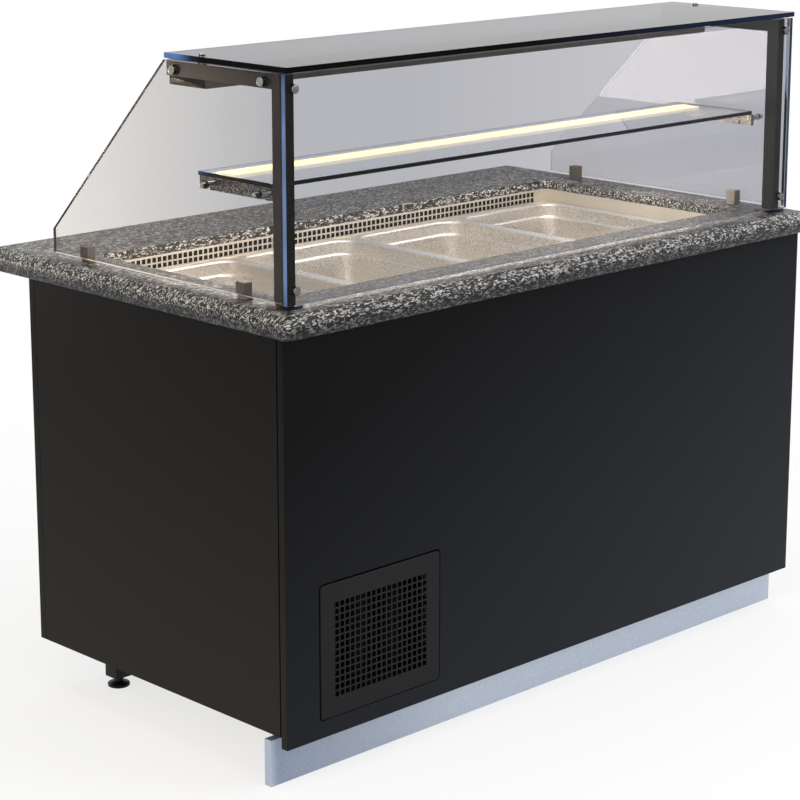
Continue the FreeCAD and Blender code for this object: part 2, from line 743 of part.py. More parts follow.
def glass_foot_blocks():
    """Blocks bonded to the side glass that stand it on the stone."""
    sx, sy, sz = foot_block
    return [block(s * (side_inner - sx / 2), front_y + b, top_height, sx, sy, sz)
            for s in sides for b in foot_block_setbacks]


def top_glass():
    pane = box(-glass_half, glass_half, front_y + top_glass_setback, arm_end - top_glass_rear,
               top_glass_bottom, top_glass_bottom + glass)
    holes = [cylinder(s * post_x, front_y + top_bolt_setback, top_glass_bottom - 1, bolt_hole, glass + 2)
             for s in sides]
    return cut(pane, holes)


def top_glass_fixings():
    """Capped screws at the rear and plain pads at the front, under and through the top glass."""
    pieces = []
    for s in sides:
        y = front_y + top_bolt_setback
        pad = cylinder(s * post_x, y, arm_top, cap_radius, top_glass_gap)
        shank = cylinder(s * post_x, y, arm_top, bolt_radius, top_glass_gap + glass + 1)
        cap = cylinder(s * post_x, y, top_glass_bottom + glass, cap_radius - 2, cap_height)
        pieces.append(fuse([pad, shank, cap]))
        pieces.append(cylinder(s * post_x, front_y + front_pad_setback, arm_top, cap_radius, top_glass_gap))
    return pieces


# ---- display shelf and lights ----
def shelf_pane():
    return box(-shelf_half, shelf_half, shelf_front, shelf_front + shelf_depth,
               shelf_height, shelf_height + shelf_glass)


def shelf_bracket(side):
    """Stainless bar under the shelf's end, with two open slots and two bolt holes."""
    x0, x1 = side * (shelf_half - bracket_thickness), side * shelf_half
    low = shelf_height - bracket_height
    bar = box(x0, x1, bracket_front, bracket_front + shelf_depth, low, shelf_height)
    slots = []
    for y in [bracket_front + s for s in bracket_slot_offsets]:
        slots.append(box(x0 - side, x1 + side, y - bracket_slot / 2, y + bracket_slot / 2, low - 1,
                         low + bracket_slot_height))
        slots.append(cylinder(x0 - side, y, low + bracket_slot_height, bracket_slot / 2,
                              bracket_thickness + 2, (side, 0, 0)))
    bolts = [cylinder(x0 - side, bracket_front + b, shelf_bolt_z, bolt_hole, bracket_thickness + 2,
                      (side, 0, 0)) for b in shelf_bolt_offsets]
    return cut(bar, slots + bolts)


def light_diffusers():
    """Opal panels: one bonded under the shelf glass, one under the canopy beam."""
    inner = shelf_half - bracket_thickness - light_panel_end
    y = front_y + light_panel_setback
    shelf_light = box(-inner, inner, y, y + light_panel_depth,
                      shelf_height - light_panel_height, shelf_height)
    middle = front_y + canopy_setback + canopy_depth / 2
    length = post_x - tube_x / 2 - 2
    canopy_light = box(-length, length, middle - diffuser_depth / 2, middle + diffuser_depth / 2,
                       arm_bottom - canopy_height - diffuser_height, arm_bottom - canopy_height)
    return [shelf_light, canopy_light]


def canopy_beam():
    """Flat rectangular tube between the arms, open at both ends for the lamp's wiring."""
    end = post_x + tube_x / 2 - canopy_inset
    y0 = front_y + canopy_setback
    y1, z0, w = y0 + canopy_depth, arm_bottom - canopy_height, canopy_wall
    outer = box(-end, end, y0, y1, z0, arm_bottom)
    return outer.cut(box(-end - 1, end + 1, y0 + w, y1 - w, z0 + w, arm_bottom - w))


# ---- rear side ----
def rear_cover_panel():
    """Steel cover above the doors and over the machine compartment, with louvres and cut-outs."""
    upper = box(-inner_half, inner_half, cover_front, rear_y, cover_drop, body_top)
    lower = box(-inner_half, partition_x, cover_front, rear_y, rail_top, cover_drop)
    header = box(-inner_half, inner_half, rear_y - post_depth, rear_y, cover_drop, cover_drop + header_height)
    slots = []
    cx = (-inner_half + partition_x) / 2
    for i in range(louvre_rows):
        z = base_top + louvre_start + i * louvre_pitch
        for side in sides:
            near = cx + side * louvre_bridge / 2
            slots.append(box(near, near + side * louvre_slot[0], cover_front - 1, rear_y + 1,
                             z, z + louvre_slot[1]))
    slots.append(block(display_x, rear_y, control_height - display_body[1] / 2,
                       display_body[0] + 2 * display_fit, 20, display_body[1]))
    cut_x, cut_z = housing_size[0] + 2 * button_clearance, housing_size[1] + 2 * button_clearance
    for x in rocker_xs:
        slots.append(block(x, rear_y, control_height - cut_z / 2, cut_x, 20, cut_z))
    slots.append(cylinder(cx, cover_front - 1, inlet_z, inlet_radius, cover_sheet + 2, (0, 1, 0)))
    return cut(fuse([upper, lower, header]), slots)


control_height = body_top - control_drop
display_x = -inner_half + display_left + display_size[0] / 2
rocker_pin_reach = rocker_size[0] / 2 + rocker_room[0] + rocker_wall / 2
housing_size = [a + 2 * (b + rocker_wall) for a, b in zip(rocker_size, rocker_room)]
rocker_xs = [display_x + display_size[0] / 2 + rocker_pitch * (i + 1) for i in range(2)]
inlet_z = 170.0
inlet_radius = 10.0
button_zs = [control_height + button_spread, control_height - button_spread]
button_x = display_x + display_size[0] / 2 - button_inset
button_face = rear_y + display_size[2] + button_proud


def thermostat_module():
    """Digital controller: bezel on the cover and its body behind, with pockets for two keys."""
    bezel = block(display_x, rear_y + display_size[2] / 2, control_height - display_size[1] / 2,
                  display_size[0], display_size[2], display_size[1])
    depth = display_body[2]
    body = box(display_x - display_body[0] / 2, display_x + display_body[0] / 2, rear_y - depth, rear_y,
               control_height - display_body[1] / 2 + display_fit,
               control_height + display_body[1] / 2 - display_fit)
    width, sink, height = display_window
    window = block(display_x - window_offset, rear_y + display_size[2], control_height - height / 2,
                   width, 2 * sink, height)
    reach = button_size / 2 + button_clearance
    floor = button_face - button_length - button_travel - button_stop
    pockets = [box(button_x - reach, button_x + reach, floor, button_face, z - reach, z + reach)
               for z in button_zs]
    return cut(fuse([bezel, body]), [window] + pockets)


def thermostat_button(z):
    return block(button_x, button_face - button_length / 2, z - button_size / 2,
                 button_size, button_length, button_size)


def switch_housings():
    """Snap-in housings of the two rocker switches, with bores for the rockers' pins."""
    housings = []
    pin_y = rear_y - rocker_pivot
    for x in rocker_xs:
        sx, sz = housing_size
        lip, height = rocker_lip
        bezel = block(x, rear_y + height / 2, control_height - sz / 2 - lip, sx + 2 * lip, height,
                      sz + 2 * lip)
        body = block(x, rear_y - housing_depth / 2, control_height - sz / 2, sx, housing_depth, sz)
        rx, rz = sx - 2 * rocker_wall, sz - 2 * rocker_wall
        room = box(x - rx / 2, x + rx / 2, rear_y - housing_depth + rocker_wall, rear_y + height + 1,
                   control_height - rz / 2, control_height + rz / 2)
        reach = rocker_pin_reach + rocker_running
        pin = cylinder(x - reach, pin_y, control_height, rocker_pin + rocker_running, 2 * reach, (1, 0, 0))
        housings.append(cut(fuse([bezel, body]), [room, pin]))
    return housings


def rocker(x):
    """Rocker key, drawn in its off position, with a pin that turns in the housing's side walls."""
    width, height = rocker_size
    h = height / 2
    end, middle = rocker_height
    outline = [(-h, 0.0), (-h, end), (0, middle), (h, end), (h, 0.0), (0, -rocker_root)]
    pin_y = rear_y - rocker_pivot
    corners = [V(x - width / 2, pin_y + y, control_height + z) for z, y in outline + outline[:1]]
    key = Part.Face(Part.makePolygon(corners)).extrude(V(width, 0, 0))
    key.rotate(V(x, pin_y, control_height), V(1, 0, 0), -rocker_tilt)
    pin = cylinder(x - rocker_pin_reach, pin_y, control_height, rocker_pin, 2 * rocker_pin_reach, (1, 0, 0))
    return fuse([key, pin])


door_span = (partition_x + door_gap, inner_half - door_gap)
door_width = (door_span[1] - door_span[0] - door_gap) / 2
door_bottom = rail_top + door_lift
door_top = cover_drop - door_lift
pin_y = rear_y - door_board / 2


def hinge_x(side):
    return door_span[0] + door_board / 2 if side < 0 else door_span[1] - door_board / 2


def door(side):
    """Hinged door of laminate board with a bow handle; its hinge edge is fully rounded."""
    outer = door_span[0] if side < 0 else door_span[1]
    inner = outer - side * door_width
    pivot = hinge_x(side)
    leaf = box(pivot, inner, rear_y - door_board, rear_y, door_bottom, door_top)
    edge = cylinder(pivot, pin_y, door_bottom, door_board / 2, door_top - door_bottom)
    bores = [cylinder(pivot, pin_y, door_bottom - 1, pin_radius + pin_running, pin_length + 2),
             cylinder(pivot, pin_y, door_top - pin_length - 1, pin_radius + pin_running, pin_length + 2)]
    leaf = cut(fuse([leaf, edge]), bores)
    x = inner + side * handle_edge
    z1 = door_top - handle_drop
    z0 = z1 - handle_span
    bow = [(x, rear_y, z0), (x, rear_y + handle_reach, z0), (x, rear_y + handle_reach, z1), (x, rear_y, z1)]
    return [leaf, tube(bow, handle_radius)]


def door_hinge_pins():
    """Plated pivot pins: two stand on the sill, two hang from the header."""
    pins = []
    for side in sides:
        x = hinge_x(side)
        plate = door_lift - 0.5
        low = cylinder(x, pin_y, rail_top, pin_radius * 1.8, plate)
        low_pin = cylinder(x, pin_y, rail_top, pin_radius, door_lift + pin_length)
        high = cylinder(x, pin_y, cover_drop - plate, pin_radius * 1.8, plate)
        high_pin = cylinder(x, pin_y, door_top - pin_length, pin_radius, door_lift + pin_length)
        pins += [fuse([low, low_pin]), fuse([high, high_pin])]
    return pins


def cable_inlet():
    """Strain relief with a dome nut where the mains lead goes in."""
    cx = (-inner_half + partition_x) / 2
    body = cylinder(cx, cover_front - 12, inlet_z, inlet_radius - 0.3, 14, (0, 1, 0))
    nut = cylinder(cx, rear_y, inlet_z, inlet_radius + 4, 6, (0, 1, 0))
    dome = Part.makeCone(inlet_radius + 1, inlet_radius - 3, 12, V(cx, rear_y + 6, inlet_z), V(0, 1, 0))
    bore = cylinder(cx, cover_front - 13, inlet_z, 4.0, 40, (0, 1, 0))
    return cut(fuse([body, nut, dome]), [bore])


# ---- refrigeration ----
machine_x = -half + vent_left + vent_width / 2
condenser_y = panel_back + condenser_setback
tray_top = base_top + tray_sheet
compressor_y = condenser_y + condenser_size[1] + shroud_depth + compressor_setback


def unit_tray():
    y0 = panel_back + 6
    outer = box(machine_x - tray_length / 2, machine_x + tray_length / 2, y0, y0 + tray_depth,
                base_top, base_top + tray_lip)
    inner = box(machine_x - tray_length / 2 + tray_sheet, machine_x + tray_length / 2 - tray_sheet,
                y0 + tray_sheet, y0 + tray_depth - tray_sheet, tray_top, base_top + tray_lip + 1)
    return outer.cut(inner)


def compressor():
    """Hermetic shell on a foot plate with rubber-grommet feet."""
    z = tray_top + grommet_height + foot_plate
    r, h = compressor_radius, compressor_height
    foot, shoulder, crown = shell_bends
    shell = revolve([(0, z), (r * 0.9, z), (r, z + foot), (r, z + h - shoulder), (r * 0.82, z + h - crown),
                     (r * 0.4, z + h), (0, z + h)], machine_x, compressor_y)
    plate = block(machine_x, compressor_y, z - foot_plate, 2.2 * r, 1.5 * r, foot_plate)
    feet = [cylinder(machine_x + sx * r * 0.9, compressor_y + sy * r * 0.55, tray_top, 9, grommet_height)
            for sx in sides for sy in sides]
    box_z = z + h * 0.35
    reach, width, height = terminal_size
    terminal = box(machine_x + r * 0.7, machine_x + r + reach, compressor_y - width / 2,
                   compressor_y + width / 2, box_z, box_z + height)
    return fuse([shell, plate, terminal] + feet)


def finned_block(cx, y0, z0, size, fins):
    """Coil core with open air gaps between its fins, closed by two end plates."""
    sx, sy, sz = size
    core = box(cx - sx / 2, cx + sx / 2, y0, y0 + sy, z0, z0 + sz)
    pitch = (sx - 2 * end_plate) / fins
    low, high = z0 + end_plate, z0 + sz - end_plate
    gaps = []
    for i in range(fins):
        x = cx - sx / 2 + end_plate + i * pitch
        gaps.append(box(x, x + pitch * fin_gap, y0 - 1, y0 + sy * fin_depth, low, high))
        gaps.append(box(x, x + pitch * fin_gap, y0 + sy * (1 - fin_depth), y0 + sy + 1, low, high))
    return cut(core, gaps)


def condenser_coil():
    return finned_block(machine_x, condenser_y, tray_top, condenser_size, condenser_fins)


shroud_y = condenser_y + condenser_size[1]
fan_centre_z = tray_top + condenser_size[2] / 2
fan_y = shroud_y + shroud_depth / 2
motor_y = fan_y + fan_depth + fan_clearance


def condenser_fan_shroud():
    """Sheet shroud with a round opening, a motor on three arms and a fixed shaft end."""
    sx, _, sz = condenser_size
    t = shroud_sheet
    y1 = shroud_y + shroud_depth
    outer = box(machine_x - sx / 2, machine_x + sx / 2, shroud_y, y1, tray_top, tray_top + sz)
    inner = box(machine_x - sx / 2 + t, machine_x + sx / 2 - t, shroud_y - 1, y1 - t, tray_top + t,
                tray_top + sz - t)
    opening = cylinder(machine_x, shroud_y, fan_centre_z, fan_radius + fan_clearance,
                       shroud_depth + 2, (0, 1, 0))
    radius, length = fan_motor
    motor = cylinder(machine_x, motor_y, fan_centre_z, radius, length, (0, 1, 0))
    reach = machine_x + fan_radius + fan_clearance + motor_arm
    arms = []
    for angle in (90, 210, 330):
        arm = box(machine_x, reach, motor_y + motor_arm, motor_y + motor_arm + 2 * t,
                  fan_centre_z - motor_arm / 2, fan_centre_z + motor_arm / 2)
        post = box(reach - motor_arm / 2, reach, y1 - t, motor_y + motor_arm + 2 * t,
                   fan_centre_z - motor_arm / 2, fan_centre_z + motor_arm / 2)
        arm = arm.fuse(post)
        arm.rotate(V(machine_x, 0, fan_centre_z), V(0, 1, 0), angle)
        arms.append(arm)
    shaft = cylinder(machine_x, fan_y + t, fan_centre_z, fan_shaft, motor_y + motor_arm - fan_y - t,
                     (0, 1, 0))
    return fuse([outer.cut(inner).cut(opening), motor, shaft] + arms)


def fan_rotor(x, y, z, radius, hub, depth, blades, bore, lean):
    """Hub with pitched flat blades, turning on a shaft along Y."""
    hub_solid = cylinder(x, y, z, hub, depth, (0, 1, 0))
    middle = y + depth / 2
    chord = radius * 0.28
    pieces = [hub_solid]
    for i in range(blades):
        blade = box(x + hub * 0.7, x + radius, middle - blade_sheet / 2, middle + blade_sheet / 2,
                    z - chord, z + chord)
        blade.rotate(V(x, middle, z), V(1, 0, 0), lean)
        blade.rotate(V(x, middle, z), V(0, 1, 0), i * 360.0 / blades)
        pieces.append(blade)
    rim = cylinder(x, y - depth, z, radius, 3 * depth, (0, 1, 0))
    shaft = cylinder(x, y - 1, z, bore, depth + 2, (0, 1, 0))
    return fuse(pieces).common(rim).cut(shaft)


def condenser_fan():
    return fan_rotor(machine_x, fan_y, fan_centre_z, fan_radius, fan_hub, fan_depth, blade_count,
                     fan_shaft + fan_running, blade_lean)


def evaporator_coil():
    """Finned coil on the tank floor, with return bends at both ends."""
    sx, sy, sz = evap_size
    y = low_front + evap_setback
    core = finned_block(0, y, tank_floor, evap_size, evap_fins)
    bends = []
    for s in sides:
        for row in (0.3, 0.7):
            z = tank_floor + sz * row
            ends = [(s * sx / 2, y + sy * 0.25, z), (s * (sx / 2 + bend_reach), y + sy * 0.25, z),
                    (s * (sx / 2 + bend_reach), y + sy * 0.75, z), (s * sx / 2, y + sy * 0.75, z)]
            bends.append(tube(ends, pipe_radius))
    return [core] + bends


evap_fan_y = baffle_y - sheet - evap_fan_depth


def evaporator_fan_frame():
    """Square axial-fan frame on the baffle, with a hub plate, three struts and a shaft."""
    middle = evap_fan_y + evap_fan_depth / 2
    frame = block(0, middle, tank_floor, evap_fan_size, evap_fan_depth, evap_fan_lift + evap_fan_size)
    bore = cylinder(0, evap_fan_y - 1, fan_z, evap_fan_radius + evap_fan_gap, evap_fan_depth + 2, (0, 1, 0))
    plate = evap_fan_lift
    hub = cylinder(0, evap_fan_y, fan_z, evap_fan_hub, plate, (0, 1, 0))
    shaft = cylinder(0, evap_fan_y, fan_z, evap_shaft, evap_fan_depth - 2, (0, 1, 0))
    struts = []
    for angle in (90, 210, 330):
        strut = box(0, evap_fan_radius + plate, evap_fan_y, evap_fan_y + plate - 1,
                    fan_z - evap_shaft, fan_z + evap_shaft)
        strut.rotate(V(0, 0, fan_z), V(0, 1, 0), angle)
        struts.append(strut)
    return fuse([frame.cut(bore), hub, shaft] + struts)


def evaporator_fan():
    return fan_rotor(0, evap_fan_y + evap_fan_lift + evap_fan_gap, fan_z, evap_fan_radius, evap_fan_hub,
                     evap_fan_depth - evap_fan_lift - 2 * evap_fan_gap, evap_blade_count,
                     evap_shaft + fan_running, evap_blade_lean)


def refrigerant_pipes():
    """Discharge line to the condenser and the insulated suction line from the well."""
    y = compressor_y
    shell_bottom = tray_top + grommet_height + foot_plate
    discharge_z = shell_bottom + compressor_height * 0.7
    left = machine_x - condenser_size[0] / 2
    inlet_y = condenser_y + condenser_size[1] / 2
    discharge = tube([(machine_x - compressor_radius, y, discharge_z), (left - pipe_clear, y, discharge_z),
                      (left - pipe_clear, inlet_y, discharge_z), (left, inlet_y, discharge_z)], pipe_radius)
    start = machine_x + compressor_radius * 0.3
    level = foam_under - suction_drop
    end = start + suction_offset
    suction = tube([(start, y, shell_bottom + compressor_height), (start, y, level),
                    (end, y, level), (end, y, foam_under)], suction_radius)
    return [discharge, suction]


# ---- drain ----
valve_z = foam_under - valve_drop
valve_middle = valve_z + valve_size / 2
lever_y = pan_y + valve_size / 2 + valve_gap


def drain_fitting():
    """Flanged outlet through the tank floor, ball-valve body and hose spigot."""
    radius, thick = drain_flange
    flange = cylinder(drain_x, pan_y, tank_floor, radius, thick)
    bottom = valve_z - spigot_length
    pipe = cylinder(drain_x, pan_y, bottom, drain_radius, tank_floor + thick - bottom)
    valve = block(drain_x, pan_y, valve_z, valve_size, valve_size, valve_size)
    stem = cylinder(drain_x, pan_y, valve_middle, lever_stem, lever_y + 2 * lever_sheet - pan_y, (0, 1, 0))
    bore = cylinder(drain_x, pan_y, bottom - 1, drain_bore, tank_floor + thick + 2 - bottom)
    return fuse([flange, pipe, valve, stem]).cut(bore)


def drain_valve_lever():
    """Lever of the ball valve, drawn closed, across the pipe."""
    hub = cylinder(drain_x, lever_y, valve_middle, lever_hub, lever_sheet, (0, 1, 0))
    grip = box(drain_x, drain_x + lever_length, lever_y, lever_y + lever_sheet,
               valve_middle - lever_hub * 0.75, valve_middle + lever_hub * 0.75)
    bore = cylinder(drain_x, lever_y - 1, valve_middle, lever_stem + pin_running, lever_sheet + 2, (0, 1, 0))
    return fuse([hub, grip]).cut(bore)


# ---- write every node ----
save("front_panel", front_panel())
save("vent_access_panel", vent_access_panel())
save("side_panel_left", side_panel(-1))
save("side_panel_right", side_panel(1))
save("rear_corner_posts", rear_corner_posts())
save("base_rails", base_rails())
save("base_panel", base_panel())
save("machine_partition", machine_partition())
save("plinth", plinth())
save("foot_sockets", foot_sockets())
foot_names = ["front_left", "front_right", "rear_left", "rear_right"]
for name, (x, y) in zip(foot_names, foot_places):
    save("levelling_foot_" + name, levelling_foot(x, y))
save("granite_top", granite_top())
save("well_tank", well_tank())
save("tank_insulation", tank_insulation())
save("air_duct_panel", air_duct_panel())
save("pan_support_bars", pan_support_bars())
for i, x in enumerate(pan_xs):
    save("gn_pan_%d" % (i + 1), gn_pan(x))
save("support_frame_left", support_frame(-1))
save("support_frame_right", support_frame(1))
save("post_base_flanges", post_base_flanges())
save("front_glass", front_glass())
save("side_glass_left", side_glass(-1))
save("side_glass_right", side_glass(1))
save("glass_bolts", glass_bolts())
save("glass_washers", glass_washers())
save("glass_foot_blocks", glass_foot_blocks())
save("top_glass", top_glass())
save("top_glass_fixings", top_glass_fixings())
save("shelf_glass", shelf_pane())
save("shelf_brackets", [shelf_bracket(s) for s in sides])
save("light_diffusers", light_diffusers())
save("canopy_beam", canopy_beam())
save("rear_cover_panel", rear_cover_panel())
save("thermostat_module", thermostat_module())
save("thermostat_button_up", thermostat_button(button_zs[0]))
save("thermostat_button_down", thermostat_button(button_zs[1]))
save("switch_housings", switch_housings())
save("power_switch", rocker(rocker_xs[0]))
save("light_switch", rocker(rocker_xs[1]))
save("door_left", door(-1))
save("door_right", door(1))
save("door_hinge_pins", door_hinge_pins())
save("cable_inlet", cable_inlet())
save("unit_tray", unit_tray())
save("compressor", compressor())
save("condenser_coil", condenser_coil())
save("condenser_fan_shroud", condenser_fan_shroud())
save("condenser_fan", condenser_fan())
save("evaporator_coil", evaporator_coil())
save("evaporator_fan_frame", evaporator_fan_frame())
save("evaporator_fan", evaporator_fan())
save("refrigerant_pipes", refrigerant_pipes())
save("drain_fitting", drain_fitting())
save("drain_valve_lever", drain_valve_lever())
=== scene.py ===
import json
import math

import bmesh
import bpy
from mathutils import Matrix, Vector


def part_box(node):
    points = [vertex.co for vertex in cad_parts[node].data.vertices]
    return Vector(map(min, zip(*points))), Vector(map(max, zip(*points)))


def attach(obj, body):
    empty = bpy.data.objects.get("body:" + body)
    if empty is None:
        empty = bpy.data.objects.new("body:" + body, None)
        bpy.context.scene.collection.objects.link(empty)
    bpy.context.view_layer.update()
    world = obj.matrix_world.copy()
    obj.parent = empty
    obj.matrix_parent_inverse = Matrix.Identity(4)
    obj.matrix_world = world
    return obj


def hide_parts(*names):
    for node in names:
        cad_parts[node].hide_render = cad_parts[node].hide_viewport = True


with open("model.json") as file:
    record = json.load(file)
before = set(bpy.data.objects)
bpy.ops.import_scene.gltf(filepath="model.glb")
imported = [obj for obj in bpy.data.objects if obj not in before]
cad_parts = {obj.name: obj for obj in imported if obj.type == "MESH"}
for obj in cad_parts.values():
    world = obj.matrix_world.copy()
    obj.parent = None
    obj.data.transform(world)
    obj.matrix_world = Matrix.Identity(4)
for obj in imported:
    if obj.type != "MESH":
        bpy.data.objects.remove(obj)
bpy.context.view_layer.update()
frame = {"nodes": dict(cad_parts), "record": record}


# ---- Studio: floor, surround and lamps ----
# The counter stands on a plain pale floor inside an even white surround.
# Large soft lamps light it from the left and from above at a plain level.
def linear(colour):
    """Linear RGBA numbers of an sRGB hex colour."""
    parts = [int(colour[i:i + 2], 16) / 255 for i in (1, 3, 5)]
    return tuple(p / 12.92 if p <= 0.04045 else ((p + 0.055) / 1.055) ** 2.4 for p in parts) + (1.0,)


def lay(tree, kind, sockets=None, stops=(), **settings):
    """Adds a node, sets it, gives a colour ramp its stops, and fills or joins its input sockets."""
    node = tree.nodes.new(kind if "Node" in kind else "ShaderNode" + kind)
    for setting, value in settings.items():
        setattr(node, setting, value)
    if stops:
        band = node.color_ramp.elements
        while len(band) < len(stops):
            band.new(1.0)
        for stop, (position, colour) in zip(band, stops):
            stop.position, stop.color = position, linear(colour)
    for socket, value in (sockets or {}).items():
        if isinstance(value, bpy.types.NodeSocket):
            tree.links.new(value, node.inputs[socket])
        else:
            node.inputs[socket].default_value = value
    return node


def stand(name, data):
    """A new object at the origin, holding a mesh, a lamp or the camera."""
    thing = bpy.data.objects.new(name, data)
    bpy.context.collection.objects.link(thing)
    return thing


def soft_lamp(name, sides, watts, colour, place, turn):
    """A rectangular lamp with its sides in metres, standing at a place and turned."""
    lamp = bpy.data.lights.new(name, "AREA")
    lamp.shape = "RECTANGLE"
    lamp.size, lamp.size_y = sides
    lamp.energy = watts
    lamp.color = linear(colour)[:3]
    holder = stand(name, lamp)
    holder.location, holder.rotation_euler = place, turn
    return holder


def ray_share(tree, unseen, seen):
    """One number for diffuse light and another for what the eye, gloss and glass see."""
    rays = lay(tree, "LightPath")
    eye = rays.outputs["Is Camera Ray"]
    for kind in ("Is Glossy Ray", "Is Transmission Ray"):
        eye = lay(tree, "Math", {0: eye, 1: rays.outputs[kind]}, operation="MAXIMUM").outputs[0]
    return lay(tree, "MapRange", {"Value": eye, "To Min": unseen, "To Max": seen}).outputs["Result"]


surround = bpy.data.worlds.new("white_surround")
bpy.context.scene.world = surround
surround.use_nodes = True
surround.node_tree.nodes.clear()
even_light = lay(surround.node_tree, "Background", {
    "Color": linear("#ffffff"), "Strength": ray_share(surround.node_tree, 0.42, 1.0)})
lay(surround.node_tree, "OutputWorld", {"Surface": even_light.outputs[0]})

floor_paint = bpy.data.materials.new("pale_studio_floor")
floor_paint.use_nodes = True
floor_tree = floor_paint.node_tree
floor_tree.nodes.clear()
matt = lay(floor_tree, "BsdfDiffuse", {"Color": linear("#f4f4f4")})
glow = lay(floor_tree, "Emission", {"Color": linear("#ffffff"), "Strength": 1.0})
spot = lay(floor_tree, "TexCoord").outputs["Object"]
away = lay(floor_tree, "VectorMath", {0: spot}, operation="LENGTH").outputs["Value"]
# Within a metre of the counter the floor is partly paint, so that it takes the shadow.
plain = lay(floor_tree, "MapRange", {
    "Value": away, "From Min": 1.0, "From Max": 2.6, "To Min": 0.72, "To Max": 1.0})
share = lay(floor_tree, "Math", {0: ray_share(floor_tree, 0.0, 1.0), 1: plain.outputs[0]},
            operation="MULTIPLY")
blend = lay(floor_tree, "MixShader", {0: share.outputs[0], 1: matt.outputs[0], 2: glow.outputs[0]})
lay(floor_tree, "OutputMaterial", {"Surface": blend.outputs[0]})

floor_mesh = bpy.data.meshes.new("studio_floor")
floor_mesh.from_pydata([(-60, -60, 0), (60, -60, 0), (60, 60, 0), (-60, 60, 0)], [], [(0, 1, 2, 3)])
floor_mesh.materials.append(floor_paint)
floor = stand("studio_floor", floor_mesh)

lit_middle = Vector((0.0, 0.0, 0.7))
for lamp_name, place, side, watts, colour in (
        ("soft_left", (-4.2, -1.2, 2.6), 2.8, 95, "#ffefdc"),
        ("soft_above", (0.9, -0.6, 4.4), 7.5, 215, "#ffffff"),
        ("soft_front", (2.6, -4.2, 2.7), 2.6, 68, "#e2eaff")):
    towards = (lit_middle - Vector(place)).to_track_quat("-Z", "Y").to_euler()
    soft_lamp(lamp_name, (side, side), watts, colour, place, towards)

# A low card behind the left end shows only as a gleam in glass and polished metal.
card = soft_lamp("gleam_card", (0.34, 0.95), 12.0, "#fff4ea", (-1.18, 1.5, 0.96), (0.0, -math.pi / 2, 0.0))
card.visible_camera = card.visible_transmission = card.visible_diffuse = False

bpy.context.scene.view_settings.view_transform = "Standard"


# ---- Camera ----
# Stands left of the customer's side at eye height, with a long lens and a little
# shift that keeps the uprights upright.
heading, dip = 0.77234, 0.22246
camera = stand("camera", bpy.data.cameras.new("camera"))
camera.data.lens = 107.98
camera.data.shift_y = -0.1
camera.location = (-3.51011, -3.55857, 1.84477)
level = math.cos(dip)
line_of_sight = Vector((math.sin(heading) * level, math.cos(heading) * level, -math.sin(dip)))
camera.rotation_euler = line_of_sight.to_track_quat("-Z", "Y").to_euler()
bpy.context.scene.camera = camera


# ---- Cabinet boards ----
# Sixteen-millimetre particle board faced with dark satin laminate: front, two ends
# and the rear corner posts, with thin edge banding eased by hand.
carrier = {node: body for body, nodes in frame["record"]["behaviour"]["bodies"].items() for node in nodes}


def finish(name, colour, roughness, metallic=0.0, specular=0.5):
    """A new material with its plain numbers set; returns it, its tree and its shader."""
    material = bpy.data.materials.new(name)
    material.use_nodes = True
    shader = material.node_tree.nodes["Principled BSDF"]
    shader.inputs["Base Color"].default_value = linear(colour)
    shader.inputs["Roughness"].default_value = roughness
    shader.inputs["Metallic"].default_value = metallic
    shader.inputs["Specular IOR Level"].default_value = specular
    return material, material.node_tree, shader


def painted_light_along(tree, way, start, end, stops):
    """A painted light-and-shade colour that runs through its stops from start to end, in metres along the
    way.
    """
    place = lay(tree, "TexCoord").outputs["Object"]
    reach = lay(tree, "VectorMath", {0: place, 1: way}, operation="DOT_PRODUCT").outputs["Value"]
    reach = lay(tree, "MapRange", {"Value": reach, "From Min": start, "From Max": end}).outputs["Result"]
    return lay(tree, "ValToRGB", {"Fac": reach}, stops).outputs["Color"]


def grained(name, colour, roughness, metallic=0.0, specular=0.5, pattern=("TexNoise", "Fac"), grain=1,
            detail=2.0, tones=(), shows="Base Color", drift=None, gloss=None, depth=None):
    """A finish with one fine pattern, repeated grain times a metre, or by three numbers along X, Y and Z.

    The pattern runs the shown colour through its tones, and a drift multiplies that by
    a tone along the piece that paints light and shade. It spreads the roughness over gloss,
    and depth is its relief in metres. What isn't given stays plain.
    """
    material, tree, shader = finish(name, colour, roughness, metallic, specular)
    place = lay(tree, "TexCoord").outputs["Object"]
    repeats = grain if isinstance(grain, tuple) else (grain, grain, grain)
    spread = lay(tree, "Mapping", {"Vector": place, "Scale": repeats}).outputs["Vector"]
    marks = lay(tree, pattern[0], {"Vector": spread, "Scale": 1.0, "Detail": detail}).outputs[pattern[1]]
    if tones:
        shown = lay(tree, "ValToRGB", {"Fac": marks}, tones).outputs["Color"]
        if drift:
            shown = lay(tree, "Mix", {"Factor": 1.0, 6: painted_light_along(tree, *drift), 7: shown},
                        data_type="RGBA", blend_type="MULTIPLY").outputs[2]
        tree.links.new(shown, shader.inputs[shows])
    if gloss:
        rough = lay(tree, "MapRange", {"Value": marks, "To Min": gloss[0], "To Max": gloss[1]})
        tree.links.new(rough.outputs["Result"], shader.inputs["Roughness"])
    if depth:
        bump = lay(tree, "Bump", {"Height": marks, "Distance": depth, "Strength": 0.6})
        tree.links.new(bump.outputs["Normal"], shader.inputs["Normal"])
    return material


def settle(piece):
    """Turns a piece's modifiers into a plain mesh and removes them."""
    bpy.context.view_layer.update()
    done = piece.evaluated_get(bpy.context.evaluated_depsgraph_get())
    mesh = bpy.data.meshes.new_from_object(done)
    piece.modifiers.clear()
    piece.data = mesh
    return piece


def smooth(mesh, degrees):
    """Smooth shading with edges sharper than this left sharp."""
    mesh.shade_smooth()
    mesh.set_sharp_from_angle(angle=math.radians(degrees))


